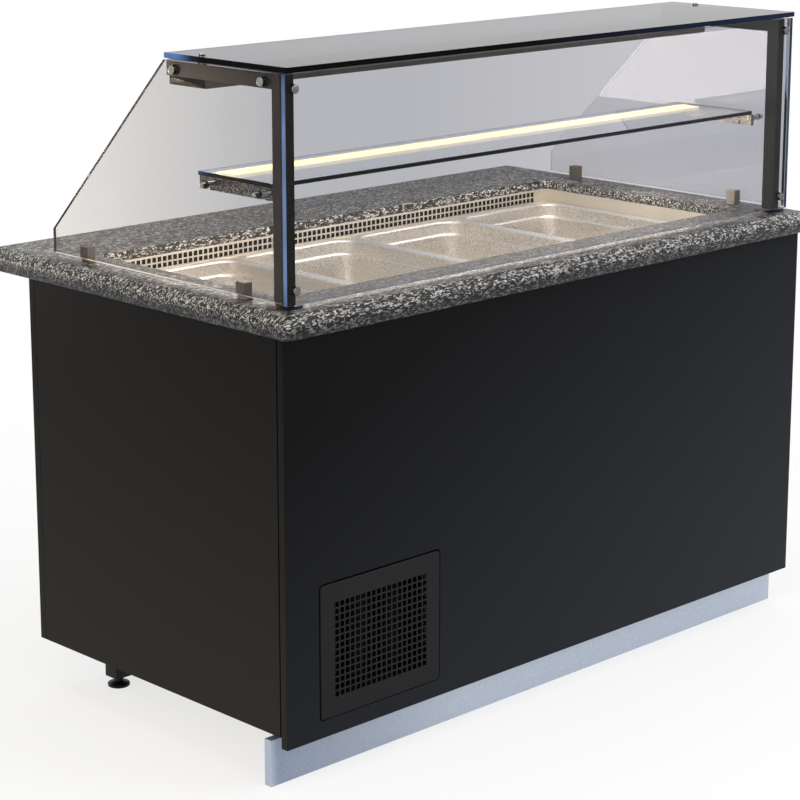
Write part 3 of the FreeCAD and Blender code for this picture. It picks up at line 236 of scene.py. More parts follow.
def eased(node, width, material, degrees=40):
    """Merged copy of a frame part with its sharp edges rounded over."""
    work = bmesh.new()
    work.from_mesh(frame["nodes"][node].data)
    bmesh.ops.remove_doubles(work, verts=work.verts, dist=0.00001)
    bmesh.ops.dissolve_limit(work, angle_limit=0.02, verts=work.verts, edges=work.edges)
    mesh = bpy.data.meshes.new(node + "_finished")
    work.to_mesh(mesh)
    work.free()
    mesh.materials.clear()
    mesh.materials.append(material)
    piece = stand(node + "_finished", mesh)
    rounding = piece.modifiers.new("rounding", "BEVEL")
    rounding.width = width
    rounding.segments = 2
    rounding.limit_method = "ANGLE"
    rounding.angle_limit = math.radians(degrees)
    settle(piece)
    smooth(piece.data, 20)
    return piece


def second_finish(piece, material, chosen):
    """Gives a further finish to the faces that a test on normal and middle chooses, if still plain."""
    piece.data.materials.append(material)
    slot = len(piece.data.materials) - 1
    for polygon in piece.data.polygons:
        if polygon.material_index == 0 and chosen(polygon.normal, polygon.center):
            polygon.material_index = slot


def fit(piece, *nodes):
    """Fixes a finished piece to its body in place of frame parts, and hides those parts."""
    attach(piece, carrier[nodes[0]])
    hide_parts(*nodes)
    return piece


def laminate_with_painted_sheen(name, dark, light, along):
    """Dark laminate: fine even grain, with a painted sheen that eases its tone from dark to light down and
    along the board.
    """
    return grained(name, dark, 0.5, specular=0.07, grain=900, detail=3.0,
                   tones=((0.3, "#a0a0a0"), (0.7, "#ffffff")),
                   drift=((along, 0.0, -0.9), -0.85, 0.15, ((0.0, dark), (1.0, light))),
                   gloss=(0.42, 0.56), depth=0.00004)


# The ends and the front are one laminate; the front's copy is darker as painted shade, and both carry the
# painted sheen.
laminate = laminate_with_painted_sheen("dark_laminate_painted_sheen", "#070606", "#34312d", 0.0)
front_laminate = laminate_with_painted_sheen("dark_front_laminate_painted_shade", "#050608", "#2f3237", 0.33)
# Painted highlight along the lower arris: a pale metal band that draws the thin bright edge line, with an
# uneven gleam.
edge_highlight_band = grained("edge_band_painted_highlight", "#dfe6ef", 0.25, metallic=0.95, grain=200,
                      gloss=(0.2, 0.32))
# Painted shadow of the joint between two boards: flat black.
seam_shadow = grained("joint_painted_shadow", "#030303", 0.8, specular=0.05, grain=500,
                    tones=((0.3, "#010101"), (0.7, "#060606")))
front_board = eased("front_panel", 0.0014, front_laminate)
# The ends take the end boards' laminate with its lighter painted tone, and the lower arris has a pale metal
# band painted as its edge highlight.
lowest_height, outermost = 0.09, 0.7
second_finish(front_board, laminate, lambda normal, middle: abs(normal.x) > 0.9)
second_finish(front_board, edge_highlight_band, lambda normal, middle: (
    normal.z < -0.3 and normal.y < -0.2 and middle.z < lowest_height))
second_finish(front_board, seam_shadow, lambda normal, middle: (
    0.1 < abs(normal.x) < 0.99 and abs(normal.z) < 0.1 and abs(middle.x) > outermost))
fit(front_board, "front_panel")
for board in ("side_panel_left", "side_panel_right"):
    end_board = eased(board, 0.001, laminate)
    # Its upright arrises are painted black as the shadow in the seams against the front and the corner post.
    second_finish(end_board, seam_shadow, lambda normal, middle: (
        0.1 < abs(normal.y) < 0.99 and abs(normal.z) < 0.1))
    fit(end_board, board)


# ---- Vent access panel ----
# Thin steel cassette, square-punched over its middle and powder coated dark, with
# rounded corners and a turned-in edge; spring clips hold it in the front panel.
def punched_sheet(name, columns, rows, pitch, hole, sheet, material):
    """Square-punched sheet in the XZ plane, centred on the origin, facing -Y."""
    tree = bpy.data.node_groups.new(name + "_tree", "GeometryNodeTree")
    for label, kind in (("Columns", "NodeSocketInt"), ("Rows", "NodeSocketInt"), ("Pitch", "NodeSocketFloat"),
                        ("Open Share", "NodeSocketFloat"), ("Sheet", "NodeSocketFloat")):
        tree.interface.new_socket(label, in_out="INPUT", socket_type=kind)
    tree.interface.new_socket("Geometry", in_out="OUTPUT", socket_type="NodeSocketGeometry")
    given = tree.nodes.new("NodeGroupInput")

    columns_in, rows_in, pitch_in = (given.outputs[label] for label in ("Columns", "Rows", "Pitch"))
    wide = lay(tree, "Math", {0: columns_in, 1: pitch_in}, operation="MULTIPLY")
    tall = lay(tree, "Math", {0: rows_in, 1: pitch_in}, operation="MULTIPLY")
    across = lay(tree, "Math", {0: columns_in, 1: 1.0}, operation="ADD")
    down = lay(tree, "Math", {0: rows_in, 1: 1.0}, operation="ADD")
    grid = lay(tree, "GeometryNodeMeshGrid", {"Size X": wide.outputs[0], "Size Y": tall.outputs[0],
                                              "Vertices X": across.outputs[0], "Vertices Y": down.outputs[0]})
    cells = lay(tree, "GeometryNodeExtrudeMesh", {
        "Mesh": grid.outputs["Mesh"], "Offset Scale": 0.0, "Individual": True}, mode="FACES")
    inner = lay(tree, "GeometryNodeScaleElements", {
        "Geometry": cells.outputs["Mesh"], "Selection": cells.outputs["Top"],
        "Scale": given.outputs["Open Share"]})
    open_cells = lay(tree, "GeometryNodeDeleteGeometry", {
        "Geometry": inner.outputs[0], "Selection": cells.outputs["Top"]}, domain="FACE")
    face = lay(tree, "GeometryNodeMergeByDistance", {"Geometry": open_cells.outputs[0], "Distance": 0.00001})
    thick = lay(tree, "GeometryNodeExtrudeMesh", {
        "Mesh": face.outputs[0], "Offset Scale": given.outputs["Sheet"], "Individual": False}, mode="FACES")
    back = lay(tree, "GeometryNodeFlipFaces", {"Mesh": face.outputs[0]})
    both = lay(tree, "GeometryNodeJoinGeometry")
    tree.links.new(thick.outputs["Mesh"], both.inputs[0])
    tree.links.new(back.outputs[0], both.inputs[0])
    welded = lay(tree, "GeometryNodeMergeByDistance", {"Geometry": both.outputs[0], "Distance": 0.00001})
    upright = lay(tree, "GeometryNodeTransform", {
        "Geometry": welded.outputs[0], "Rotation": (math.pi / 2, 0.0, 0.0)})
    whole = lay(tree, "GeometryNodeRealizeInstances", {"Geometry": upright.outputs[0]})
    coated = lay(tree, "GeometryNodeSetMaterial", {"Geometry": whole.outputs[0], "Material": material})
    lay(tree, "NodeGroupOutput", {0: coated.outputs[0]})

    piece = stand(name, bpy.data.meshes.new(name))
    punch = piece.modifiers.new("punch", "NODES")
    punch.node_group = tree
    sizes = {"Columns": columns, "Rows": rows, "Pitch": pitch, "Open Share": hole / pitch, "Sheet": sheet}
    for socket in tree.interface.items_tree:
        if socket.item_type == "SOCKET" and socket.in_out == "INPUT":
            punch[socket.identifier] = sizes[socket.name]
    return settle(piece)


def shift(piece, x, y, z):
    """Moves a piece's mesh, so that the object itself stays at the origin."""
    for vertex in piece.data.vertices:
        vertex.co += Vector((x, y, z))
    piece.data.update()
    return piece


def corner_run(half_a, half_b, radius, steps):
    """Points once round a rectangle with rounded corners, centred on nought."""
    points = []
    for side_a, side_b, start in ((1, 1, 0), (-1, 1, 90), (-1, -1, 180), (1, -1, 270)):
        for k in range(steps + 1):
            turn = math.radians(start + 90 * k / steps)
            points.append((side_a * (half_a - radius) + radius * math.cos(turn),
                           side_b * (half_b - radius) + radius * math.sin(turn)))
    return points


def lofted(name, levels, material, axis="Z", steps=6, closed=False, sharp=35):
    """Skin over rounded rectangles, one per level: (centre a, centre b, half a, half b, radius, height).

    Axis says which way height runs. An open loft is capped at both ends.
    """
    verts, faces, count = [], [], 4 * (steps + 1)
    for centre_a, centre_b, half_a, half_b, radius, height in levels:
        for a, b in corner_run(half_a, half_b, radius, steps):
            a, b = a + centre_a, b + centre_b
            verts.append({"Z": (a, b, height), "Y": (a, height, b), "X": (height, a, b)}[axis])
    rows = len(levels)
    for i in range(rows if closed else rows - 1):
        low, high = i * count, (i + 1) % rows * count
        for j in range(count):
            k = (j + 1) % count
            faces.append((low + j, low + k, high + k, high + j))
    if not closed:
        faces.append(tuple(range(count)))
        faces.append(tuple(range((rows - 1) * count, rows * count)))
    mesh = bpy.data.meshes.new(name)
    mesh.from_pydata(verts, [], faces)
    work = bmesh.new()
    work.from_mesh(mesh)
    bmesh.ops.remove_doubles(work, verts=work.verts, dist=0.000002)
    bmesh.ops.recalc_face_normals(work, faces=work.faces)
    work.to_mesh(mesh)
    work.free()
    mesh.materials.append(material)
    smooth(mesh, sharp)
    return stand(name, mesh)


def joined(name, *pieces):
    """One piece made of several, each keeping its own finish."""
    work = bmesh.new()
    mesh = bpy.data.meshes.new(name)
    for piece in pieces:
        start = len(mesh.materials)
        for material in piece.data.materials:
            mesh.materials.append(material)
        before = len(work.faces)
        work.from_mesh(piece.data)
        work.faces.ensure_lookup_table()
        for face in work.faces[before:]:
            face.material_index += start
        bpy.data.objects.remove(piece)
    work.to_mesh(mesh)
    work.free()
    return stand(name, mesh)


# Orange-peel texture of powder coat, a millimetre or so across.
vent_coat = grained("dark_textured_powder_coat", "#101113", 0.5, specular=0.14, grain=700,
                    tones=((0.35, "#0e0f11"), (0.7, "#18191b")), depth=0.00005)

low, high = (Vector(c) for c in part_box("vent_access_panel"))
clip_reach, clip_depth = 0.0022, 0.006
opening_x, settling = (low.x + high.x) / 2, 0.0011
vent_x, vent_z = opening_x + settling, (low.z + high.z) / 2 - settling
vent_half_x, vent_half_z = (high.x - low.x) / 2 - clip_reach, (high.z - low.z) / 2
punch_pitch, punch_hole, punched, vent_sheet = 0.0136, 0.0101, 0.001, 0.002
field_x, field_z = 18 * punch_pitch / 2, 14 * punch_pitch / 2
mesh_field = shift(punched_sheet("vent_field", 18, 14, punch_pitch, punch_hole, punched, vent_coat),
                   vent_x, low.y + punched, vent_z)
cassette = lofted("vent_cassette", [
    (vent_x, vent_z, field_x, field_z, 0.0001, low.y + vent_sheet),
    (vent_x, vent_z, field_x, field_z, 0.0001, low.y),
    (vent_x, vent_z, vent_half_x - 0.0016, vent_half_z - 0.0016, 0.0066, low.y),
    (vent_x, vent_z, vent_half_x - 0.0005, vent_half_z - 0.0005, 0.0077, low.y + 0.0005),
    (vent_x, vent_z, vent_half_x, vent_half_z, 0.008, low.y + 0.0016),
    (vent_x, vent_z, vent_half_x, vent_half_z, 0.008, high.y),
    (vent_x, vent_z, vent_half_x - vent_sheet, vent_half_z - vent_sheet, 0.006, high.y),
    (vent_x, vent_z, vent_half_x - vent_sheet, vent_half_z - vent_sheet, 0.006, low.y + vent_sheet),
], vent_coat, axis="Y", closed=True, sharp=12)
vent_clips = []
for side in (-1, 1):
    reach = clip_reach - side * settling
    clip_x = vent_x + side * (vent_half_x + reach / 2)
    for z in (vent_z - vent_half_z / 2, vent_z + vent_half_z / 2):
        vent_clips.append(lofted("vent_clip", [(clip_x, z, reach / 2, 0.01, 0.0004, high.y - clip_depth),
                                               (clip_x, z, reach / 2, 0.01, 0.0004, high.y)],
                                 vent_coat, axis="Y", steps=2))
fit(joined("vent_access_panel_finished", mesh_field, cassette, *vent_clips), "vent_access_panel")


# ---- Base: rails, plinth and levelling feet ----
# Zinc-coated rails carry the cabinet. The plinth board is faced with brushed
# aluminium, and black plastic feet screw into sockets under the rails.
# Hot-dip zinc freezes in flat spangles, here about 14 mm across.
zinc = grained("zinc_coated_sheet", "#8d9093", 0.42, metallic=0.9, pattern=("TexVoronoi", "Color"),
               grain=70, detail=0.0, tones=((0.0, "#7e8185"), (1.0, "#a0a3a6")))
fit(eased("base_rails", 0.0015, zinc), "base_rails")

# A fine even blasted grain with faint brushing along the board, and painted light and shade: the left end
# face paler, the front darker towards the left end.
plinth_painted_shade = ((0.0, "#dadfe6"), (0.02, "#b2b9c4"), (0.6, "#e6e8eb"))
brushed_aluminium = grained("satin_aluminium_face", "#c0cad8", 0.4, metallic=0.75, grain=(260, 900, 1100),
                            detail=4.0, tones=((0.3, "#bcc6d4"), (0.7, "#dde4ee")),
                            drift=((1.0, 0.0, 0.0), -0.76, 0.1, plinth_painted_shade), gloss=(0.3, 0.48))
fit(eased("plinth", 0.0005, brushed_aluminium), "plinth")

# Injection-moulded polyamide: deep black with a soft, slightly grained sheen.
black_plastic = grained("black_moulded_plastic", "#060607", 0.42, specular=0.2, grain=420,
                        gloss=(0.34, 0.52), depth=0.00003)
fit(eased("foot_sockets", 0.0012, black_plastic), "foot_sockets")


def turned(name, x, y, z, profile, material, axis="Z", sign=1, steps=8, sharp=35):
    """Turned part: (radius, distance along the axis) pairs from its seat outwards."""
    a, b, base = {"Z": (x, y, z), "Y": (x, z, y), "X": (y, z, x)}[axis]
    rings = [(a, b, r, r, r, base + sign * h) for r, h in profile]
    return lofted(name, rings, material, axis, steps, sharp=sharp)


for end in ("front_left", "front_right", "rear_left", "rear_right"):
    low, high = (Vector(c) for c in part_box("levelling_foot_" + end))
    x, y = (low.x + high.x) / 2, (low.y + high.y) / 2
    # Disc with a rounded rim, a waisted neck, and the stud up into the socket.
    foot = turned("levelling_foot_%s_finished" % end, x, y, 0.0, [
        (0.0205, 0.0), (0.0225, 0.001), (0.023, 0.0028), (0.023, 0.0062), (0.0216, 0.0076),
        (0.0150, 0.0100), (0.0108, 0.0110), (0.0096, 0.0124), (0.0092, 0.0166), (0.0082, 0.018),
        (0.005, 0.0184), (0.005, high.z)], black_plastic, steps=7)
    grips = [lofted("foot_grip", [
        (x + 0.0219 * math.cos(turn), y + 0.0219 * math.sin(turn), 0.0014, 0.0014, 0.0013, 0.0014),
        (x + 0.0217 * math.cos(turn), y + 0.0217 * math.sin(turn), 0.0013, 0.0013, 0.0012, 0.0066)],
        black_plastic, steps=2) for turn in (math.radians(15 + 30 * k) for k in range(12))]
    fit(joined("levelling_foot_%s_with_grips" % end, foot, *grips), "levelling_foot_" + end)

# Pale melamine-faced chipboard inside the cabinet: matt, faintly flecked.
board_core = grained("melamine_faced_board", "#b9b2a6", 0.6, specular=0.3, grain=260,
                     detail=3.0, tones=((0.3, "#aca598"), (0.7, "#c5bfb3")))
for board in ("base_panel", "machine_partition"):
    fit(eased(board, 0.0006, board_core), board)


# ---- Stone worktop ----
# Polished grey granite, 20 mm thick, with strips bonded under its edge to make it
# look 43 mm deep. The edge is bevelled and softened; the well is cut through it.
granite, tree, shader = finish("speckled_granite", "#2a2825", 0.42, specular=0.25)
# Interlocked black and pale flakes, about 2 by 5 mm, lying two ways in drifts.
place = lay(tree, "TexCoord").outputs["Object"]
swirl = lay(tree, "TexNoise", {"Vector": place, "Scale": 70.0, "Detail": 1.0})
bent = lay(tree, "VectorMath", {0: swirl.outputs["Color"], 1: (0.010, 0.010, 0.010), 2: place},
           operation="MULTIPLY_ADD").outputs[0]
picks = []
for lean in ((0.5, 0.6, 0.7), (-0.6, -0.5, -0.9)):
    laid = lay(tree, "Mapping", {"Vector": bent, "Rotation": lean, "Scale": (115, 380, 380)})
    flakes = lay(tree, "TexVoronoi", {"Vector": laid.outputs[0], "Scale": 1.0})
    picks.append(lay(tree, "SeparateColor", {"Color": flakes.outputs["Color"]}).outputs[0])
drift = lay(tree, "TexNoise", {"Vector": place, "Scale": 75.0, "Detail": 0.0})
either = lay(tree, "MapRange", {"Value": drift.outputs["Fac"], "From Min": 0.47, "From Max": 0.53})
pick = lay(tree, "Mix", {0: either.outputs["Result"], 2: picks[0], 3: picks[1]}).outputs[0]
dust = lay(tree, "TexNoise", {"Vector": bent, "Scale": 500.0, "Detail": 2.0})
pick = lay(tree, "Math", {0: dust.outputs["Fac"], 1: 0.5, 2: pick}, operation="MULTIPLY_ADD").outputs[0]
pick = lay(tree, "MapRange", {"Value": pick, "From Min": 0.15, "From Max": 1.3}).outputs["Result"]
stone = lay(tree, "ValToRGB", {"Fac": pick}, (
    (0.0, "#010101"), (0.51, "#020202"), (0.55, "#302f2d"), (0.62, "#62605c"), (0.73, "#a09d98"),
    (1.0, "#f4f2ee"))).outputs["Color"]
# Painted shade by height: the strips bonded under the edge are darkened towards the bottom, and the bevel is
# painted a little paler than the polished top, as light from above falls on it.
seat = painted_light_along(tree, (0.0, 0.0, 1.0), 0.884, 0.9138, (
    (0.0, "#787b83"), (0.55, "#d6d6d6"), (0.95, "#d6d6d6"), (1.0, "#b9babc")))
stone = lay(tree, "Mix", {"Factor": 1.0, 6: stone, 7: seat}, data_type="RGBA", blend_type="MULTIPLY")
tree.links.new(stone.outputs[2], shader.inputs["Base Color"])

low, high = (Vector(c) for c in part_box("granite_top"))
stone_x, stone_y, stone_top, stone_low = high.x, high.y, high.z, low.z
slab, edge_band, bevel_run, bevel_drop = 0.020, 0.050, 0.020, 0.015
well_x, well_y, well_middle = 0.658, 0.2765, -0.048


def softened(points, setback, steps=4):
    """Profile with its inner corners drawn as curves that start one setback away."""
    out = [points[0]]
    for before, corner, after in zip(points, points[1:], points[2:]):
        before, corner, after = Vector(before), Vector(corner), Vector(after)
        start = corner + (before - corner).normalized() * setback
        end = corner + (after - corner).normalized() * setback
        for k in range(steps + 1):
            t = k / steps
            out.append(tuple(start * (1 - t) ** 2 + corner * 2 * t * (1 - t) + end * t * t))
    return out + [points[-1]]


edge = [(edge_band, stone_low), (0.002, stone_low)]
edge += softened([(0.0, stone_low + 0.002), (0.0, stone_top - bevel_drop), (bevel_run, stone_top),
                  (bevel_run + 0.012, stone_top)], 0.0055)
levels = [(0, 0, stone_x - inset, stone_y - inset, max(0.014 - inset * 0.3, 0.002), z) for inset, z in edge]
levels += [(0, well_middle, well_x + 0.0015, well_y + 0.0015, 0.0195, stone_top),
           (0, well_middle, well_x + 0.0004, well_y + 0.0004, 0.0184, stone_top - 0.0004),
           (0, well_middle, well_x, well_y, 0.018, stone_top - 0.0015),
           (0, well_middle, well_x, well_y, 0.018, stone_top - slab),
           (0, 0, stone_x - edge_band, stone_y - edge_band, 0.002, stone_top - slab)]
slab_piece = lofted("granite_slab", levels, granite, closed=True, steps=6, sharp=50)
rib_y, rib_half, rib_arris = 0.3135, 0.024, 0.0012
rib = lofted("granite_rear_rib", [(0, rib_y, stone_x - edge_band, rib_half, rib_arris, z)
                                  for z in (stone_low, stone_top - slab)], granite, steps=2)
fit(joined("granite_top_finished", slab_piece, rib), "granite_top")


# ---- Cold well: tank, foam, air duct and bars ----
# Satin stainless sheet, folded and welded. The tank hangs from the underside of the
# stone; the punched strip lets cold air out over the pans.
# Fine blasted grain that mottles the sheen.
satin_steel = grained("satin_stainless_sheet", "#dcd7cc", 0.42, metallic=0.88, grain=520,
                      detail=3.0, tones=((0.3, "#c6bfb2"), (0.7, "#eae5da")), gloss=(0.36, 0.5),
                      depth=0.00003)

low, high = (Vector(c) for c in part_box("well_tank"))
sheet, ledge_top, tank_floor, duct_back = 0.0015, 0.8607, 0.6, 0.2585
front_wall, ledge_x, ledge_front = -0.3245, 0.643, -0.3025
upper_middle, upper_half = (front_wall + duct_back) / 2, (duct_back - front_wall) / 2
lower_middle, lower_half = (ledge_front + duct_back) / 2, (duct_back - ledge_front) / 2


def tank_level(upper, grow, radius, z):
    """One ring of the tank's skin: above its ledge or below, grown outwards, at a height."""
    middle, half_x, half_y = lower_middle, ledge_x, lower_half
    if upper:
        middle, half_x, half_y = upper_middle, well_x, upper_half
    return (0, middle, half_x + grow, half_y + grow, radius, z)


tank = lofted("well_tank_finished", [
    tank_level(False, -0.004, 0.008, tank_floor), tank_level(False, 0, 0.012, tank_floor + 0.004),
    tank_level(False, 0, 0.012, ledge_top - 0.0015), tank_level(False, 0.0015, 0.0135, ledge_top),
    tank_level(True, -0.001, 0.009, ledge_top), tank_level(True, 0, 0.01, ledge_top + 0.001),
    tank_level(True, 0, 0.01, high.z - 0.001), tank_level(True, 0.001, 0.011, high.z),
    tank_level(True, 0.015, 0.012, high.z), tank_level(True, 0.015, 0.012, high.z - sheet),
    tank_level(True, sheet, 0.0115, high.z - sheet), tank_level(True, sheet, 0.0115, ledge_top - sheet),
    tank_level(False, sheet, 0.0135, ledge_top - sheet), tank_level(False, sheet, 0.0135, tank_floor),
    tank_level(False, -0.003, 0.0095, tank_floor - sheet)], satin_steel, sharp=25)
# The tank wall behind the duct is painted black: painted shade behind the punched holes.
duct_painted_shade = grained("duct_wall_painted_shade", "#050505", 0.9, specular=0.05, grain=500,
                      tones=((0.3, "#030303"), (0.7, "#0a0a0a")))
second_finish(tank, duct_painted_shade, lambda normal, middle: (
    middle.y > duct_back - 0.02 and middle.z > ledge_top - 0.001))
fit(tank, "well_tank")

strip_y, strip_z0, strip_z1 = 0.2285, ledge_top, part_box("air_duct_panel")[1][2]
strip_columns, strip_hole, strip_sheet = 91, 0.0103, 0.0009
strip_x, strip_z = strip_columns * punch_pitch / 2, (strip_z0 + strip_z1) / 2
strip_field = shift(punched_sheet("duct_strip_field", strip_columns, 2, punch_pitch, strip_hole, strip_sheet,
                                  satin_steel), 0, strip_y + strip_sheet, strip_z)
strip_half = (strip_z1 - strip_z0) / 2
strip_frame = lofted("duct_strip_frame", [
    (0, strip_z, strip_x, punch_pitch, 0.0001, strip_y + sheet),
    (0, strip_z, strip_x, punch_pitch, 0.0001, strip_y),
    (0, strip_z, well_x, strip_half, 0.0002, strip_y),
    (0, strip_z, well_x, strip_half, 0.0002, strip_y + sheet)], satin_steel, axis="Y", closed=True, steps=1)
# Behind the strip a ledge and a baffle with the fan's opening lead air up from the coil.
baffle_y, duct_ledge_back = 0.205, 0.230
duct_ledge = lofted("duct_ledge", [
    (0, (baffle_y + duct_ledge_back) / 2, ledge_x, (duct_ledge_back - baffle_y) / 2, 0.0004, z)
    for z in (ledge_top - sheet, ledge_top)], satin_steel, steps=1)
fan_z, fan_opening = 0.65, 0.044
baffle_z = (tank_floor + ledge_top - sheet) / 2
baffle_half = (ledge_top - sheet - tank_floor) / 2
baffle = lofted("duct_baffle", [
    (0, fan_z, fan_opening, fan_opening, fan_opening, baffle_y + sheet),
    (0, fan_z, fan_opening, fan_opening, fan_opening, baffle_y),
    (0, baffle_z, ledge_x, baffle_half, 0.0004, baffle_y),
    (0, baffle_z, ledge_x, baffle_half, 0.0004, baffle_y + sheet)],
    satin_steel, axis="Y", closed=True, steps=8)
fit(joined("air_duct_panel_finished", strip_field, strip_frame, duct_ledge, baffle), "air_duct_panel")
fit(eased("pan_support_bars", 0.0012, satin_steel), "pan_support_bars")

# Cut polyurethane foam shows cells about 3 mm across.
foam = grained("rigid_foam", "#d8c89a", 0.85, specular=0.2, pattern=("TexVoronoi", "Distance"),
               grain=320, detail=0.0, tones=((0.1, "#cdbb8b"), (0.8, "#e2d4aa")), depth=0.0002)
fit(eased("tank_insulation", 0.002, foam), "tank_insulation")


# ---- Gastronorm pans ----
# Four deep-drawn 1/1 pans in one-millimetre stainless: flat rim with a rolled lip,
# a stacking shoulder below it, tapered walls and a well-rounded bottom.
# A fine grain over softly clouded gloss, as drawing and pickling leave it.
pan_steel = grained("drawn_stainless", "#dcd9d2", 0.34, metallic=1.0, grain=560, detail=3.0,
                    tones=((0.38, "#aeaaa3"), (0.62, "#f9f6f1")), depth=0.00003)
tree = pan_steel.node_tree
place = lay(tree, "Mapping", {"Vector": lay(tree, "TexCoord").outputs["Object"], "Scale": (9, 9, 22)})
cloud = lay(tree, "TexNoise", {"Vector": place.outputs["Vector"], "Scale": 1.0, "Detail": 2.0})
gloss = lay(tree, "MapRange", {"Value": cloud.outputs["Fac"], "To Min": 0.32, "To Max": 0.46})
tree.links.new(gloss.outputs["Result"], tree.nodes["Principled BSDF"].inputs["Roughness"])

# The pan's section from the middle of its floor up the inside, over the rim and down
# the outside: (inset from the rim's edge, depth below the rim, corner radius).
metal, flat_depth = 0.001, 0.1
inside = [(0.0335, 0.150, 0.012), (0.0245, 0.1488, 0.02), (0.0205, 0.1455, 0.0245), (0.0182, 0.1405, 0.028),
          (0.0172, 0.134, 0.03), (0.0152, 0.036, 0.0365), (0.015, 0.0315, 0.037), (0.0146, 0.0298, 0.0375),
          (0.0128, 0.0286, 0.0385), (0.0122, 0.0275, 0.0388), (0.012, 0.0258, 0.039),
          (0.0118, 0.0035, 0.0405), (0.0112, 0.0014, 0.041), (0.0098, 0.0002, 0.042), (0.0092, 0.0, 0.0425),
          (0.0086, 0.0, 0.043)]
rim_roll = [(0.0026, 0.0, 0.0165), (0.0020, 0.0, 0.017), (0.0010, 0.0004, 0.018), (0.0003, 0.0014, 0.0185),
            (0.0, 0.003, 0.0187), (0.0, 0.0038, 0.0187), (0.0006, 0.004, 0.018), (0.0012, 0.0038, 0.0175)]
outside = [(0.0013, 0.0022, 0.0172), (0.0035, 0.0012, 0.0165), (0.0105, 0.0012, 0.042),
           (0.0128, 0.0035, 0.0415)]
outside += [(inset + metal, depth + 0.0012, radius + metal)
            for inset, depth, radius in reversed(inside[1:-4])]
inside = [(inset, depth - metal if depth > flat_depth else depth, radius) for inset, depth, radius in inside]
for number in (1, 2, 3, 4):
    low, high = (Vector(c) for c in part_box("gn_pan_%d" % number))
    x, y = (low.x + high.x) / 2, (low.y + high.y) / 2
    half_x, half_y, rim, bottom = (high.x - low.x) / 2, (high.y - low.y) / 2, high.z, low.z
    pan_levels = [(x, y, half_x - inset, half_y - inset, radius, rim - min(depth, rim - bottom))
                  for inset, depth, radius in inside + rim_roll + outside]
    pan = lofted("gn_pan_%d_finished" % number, pan_levels, pan_steel, steps=10, sharp=60)
    fit(pan, "gn_pan_%d" % number)


# ---- Refrigeration: coils, fans, compressor, pipes and drain ----
# A condensing unit on a tray behind the vent panel, and a finned coil with its fan
# inside the tank. Copper pipes join them; a ball valve drains the well.
# Pressed aluminium fins seen edge on: bright, with fine upright marks.
fins = grained("aluminium_fins", "#c4c7ca", 0.32, metallic=1.0, grain=(900, 60, 60),
               tones=((0.35, "#a5a9ad"), (0.65, "#d6d8da")))
# Condenser fins in dull black, painted shade so that the vent's holes read dark.
shade_black_fins = grained("fins_painted_shade_black", "#0b0b0c", 0.6, specular=0.1, grain=(300, 60, 60),
                     tones=((0.35, "#060607"), (0.65, "#131314")))
for coil, coating in (("evaporator_coil", fins), ("condenser_coil", shade_black_fins)):
    for place in frame["nodes"][coil].material_slots:
        place.material = coating

# Pressed steel painted black as shade behind the vent, with an even, low sheen.
shade_black_paint = grained("steel_painted_shade_black", "#070707", 0.5, specular=0.15, grain=250, gloss=(0.42, 0.6))
fit(eased("unit_tray", 0.0006, shade_black_paint), "unit_tray")
fit(eased("condenser_fan_shroud", 0.0006, shade_black_paint), "condenser_fan_shroud")
fit(eased("condenser_fan", 0.0007, black_plastic), "condenser_fan")
fit(eased("evaporator_fan_frame", 0.0006, black_plastic), "evaporator_fan_frame")
fit(eased("evaporator_fan", 0.0005, black_plastic), "evaporator_fan")

# Baked enamel of the compressor's shell: glossy black, slightly uneven where it ran.
enamel = grained("black_enamel", "#0c0c0d", 0.22, specular=0.5, grain=60, gloss=(0.16, 0.32))
fit(eased("compressor", 0.002, enamel), "compressor")

# Bare copper pipe, warm and tarnished in patches.
copper = grained("bare_copper", "#b87350", 0.3, metallic=1.0, grain=35, detail=4.0,
                 tones=((0.35, "#8a5138"), (0.6, "#c17c58")))
fit(eased("refrigerant_pipes", 0.0005, copper, 60), "refrigerant_pipes")

# Bright zinc plate on small steel parts: silvery, a little cloudy.
plated = grained("bright_zinc_plate", "#b4b3ae", 0.25, metallic=1.0, grain=140, gloss=(0.18, 0.36))
fit(eased("drain_fitting", 0.0005, plated), "drain_fitting")

# Dipped vinyl, also the rocker's moulded red: saturated, with soft highlights.
red_sleeve = grained("red_vinyl_sleeve", "#a51d16", 0.35, specular=0.5, grain=90, gloss=(0.25, 0.45))
fit(eased("drain_valve_lever", 0.0012, red_sleeve), "drain_valve_lever")


# ---- Glass guard: posts, arms and panes ----
# Two dark anodised frames of rectangular tube stand on round flanges. Ten-millimetre
# glass is bolted to them on rubber washers, with polished edges.
def anodising(name, front, rear):
    """Dark anodised aluminium with extrusion lines, with a painted highlight that eases its tone lighter from
    front to rear.
    """
    material = grained(name, front, 0.36, metallic=0.1, specular=0.2, grain=(700, 700, 9), detail=3.0,
                       tones=((0.3, "#d0d0d0"), (0.7, "#ffffff")),
                       drift=((0.0, 1.0, 0.0), -0.38, -0.08, ((0.0, front), (1.0, rear))))
    tree = material.node_tree
    shown = tree.nodes["Principled BSDF"].inputs["Base Color"]
    # Black from the front face laps 4 mm round the corners of the post.
    spot = lay(tree, "SeparateXYZ", {"Vector": lay(tree, "TexCoord").outputs["Object"]})
    lap = lay(tree, "MapRange", {"Value": spot.outputs["Y"], "From Min": -0.4007, "From Max": -0.3997})
    taped = lay(tree, "Mix", {0: lap.outputs["Result"], 6: linear("#040404"), 7: shown.links[0].from_socket},
                data_type="RGBA")
    tree.links.new(taped.outputs[2], shown)
    return material


# One anodising in two copies: the right frame's copy is darker as painted shade.
anodised_with_painted_light = {"left": anodising("bronze_anodised", "#60574c", "#a29683"),
            "right": anodising("bronze_anodised_painted_shade", "#1b1916", "#3c362f")}
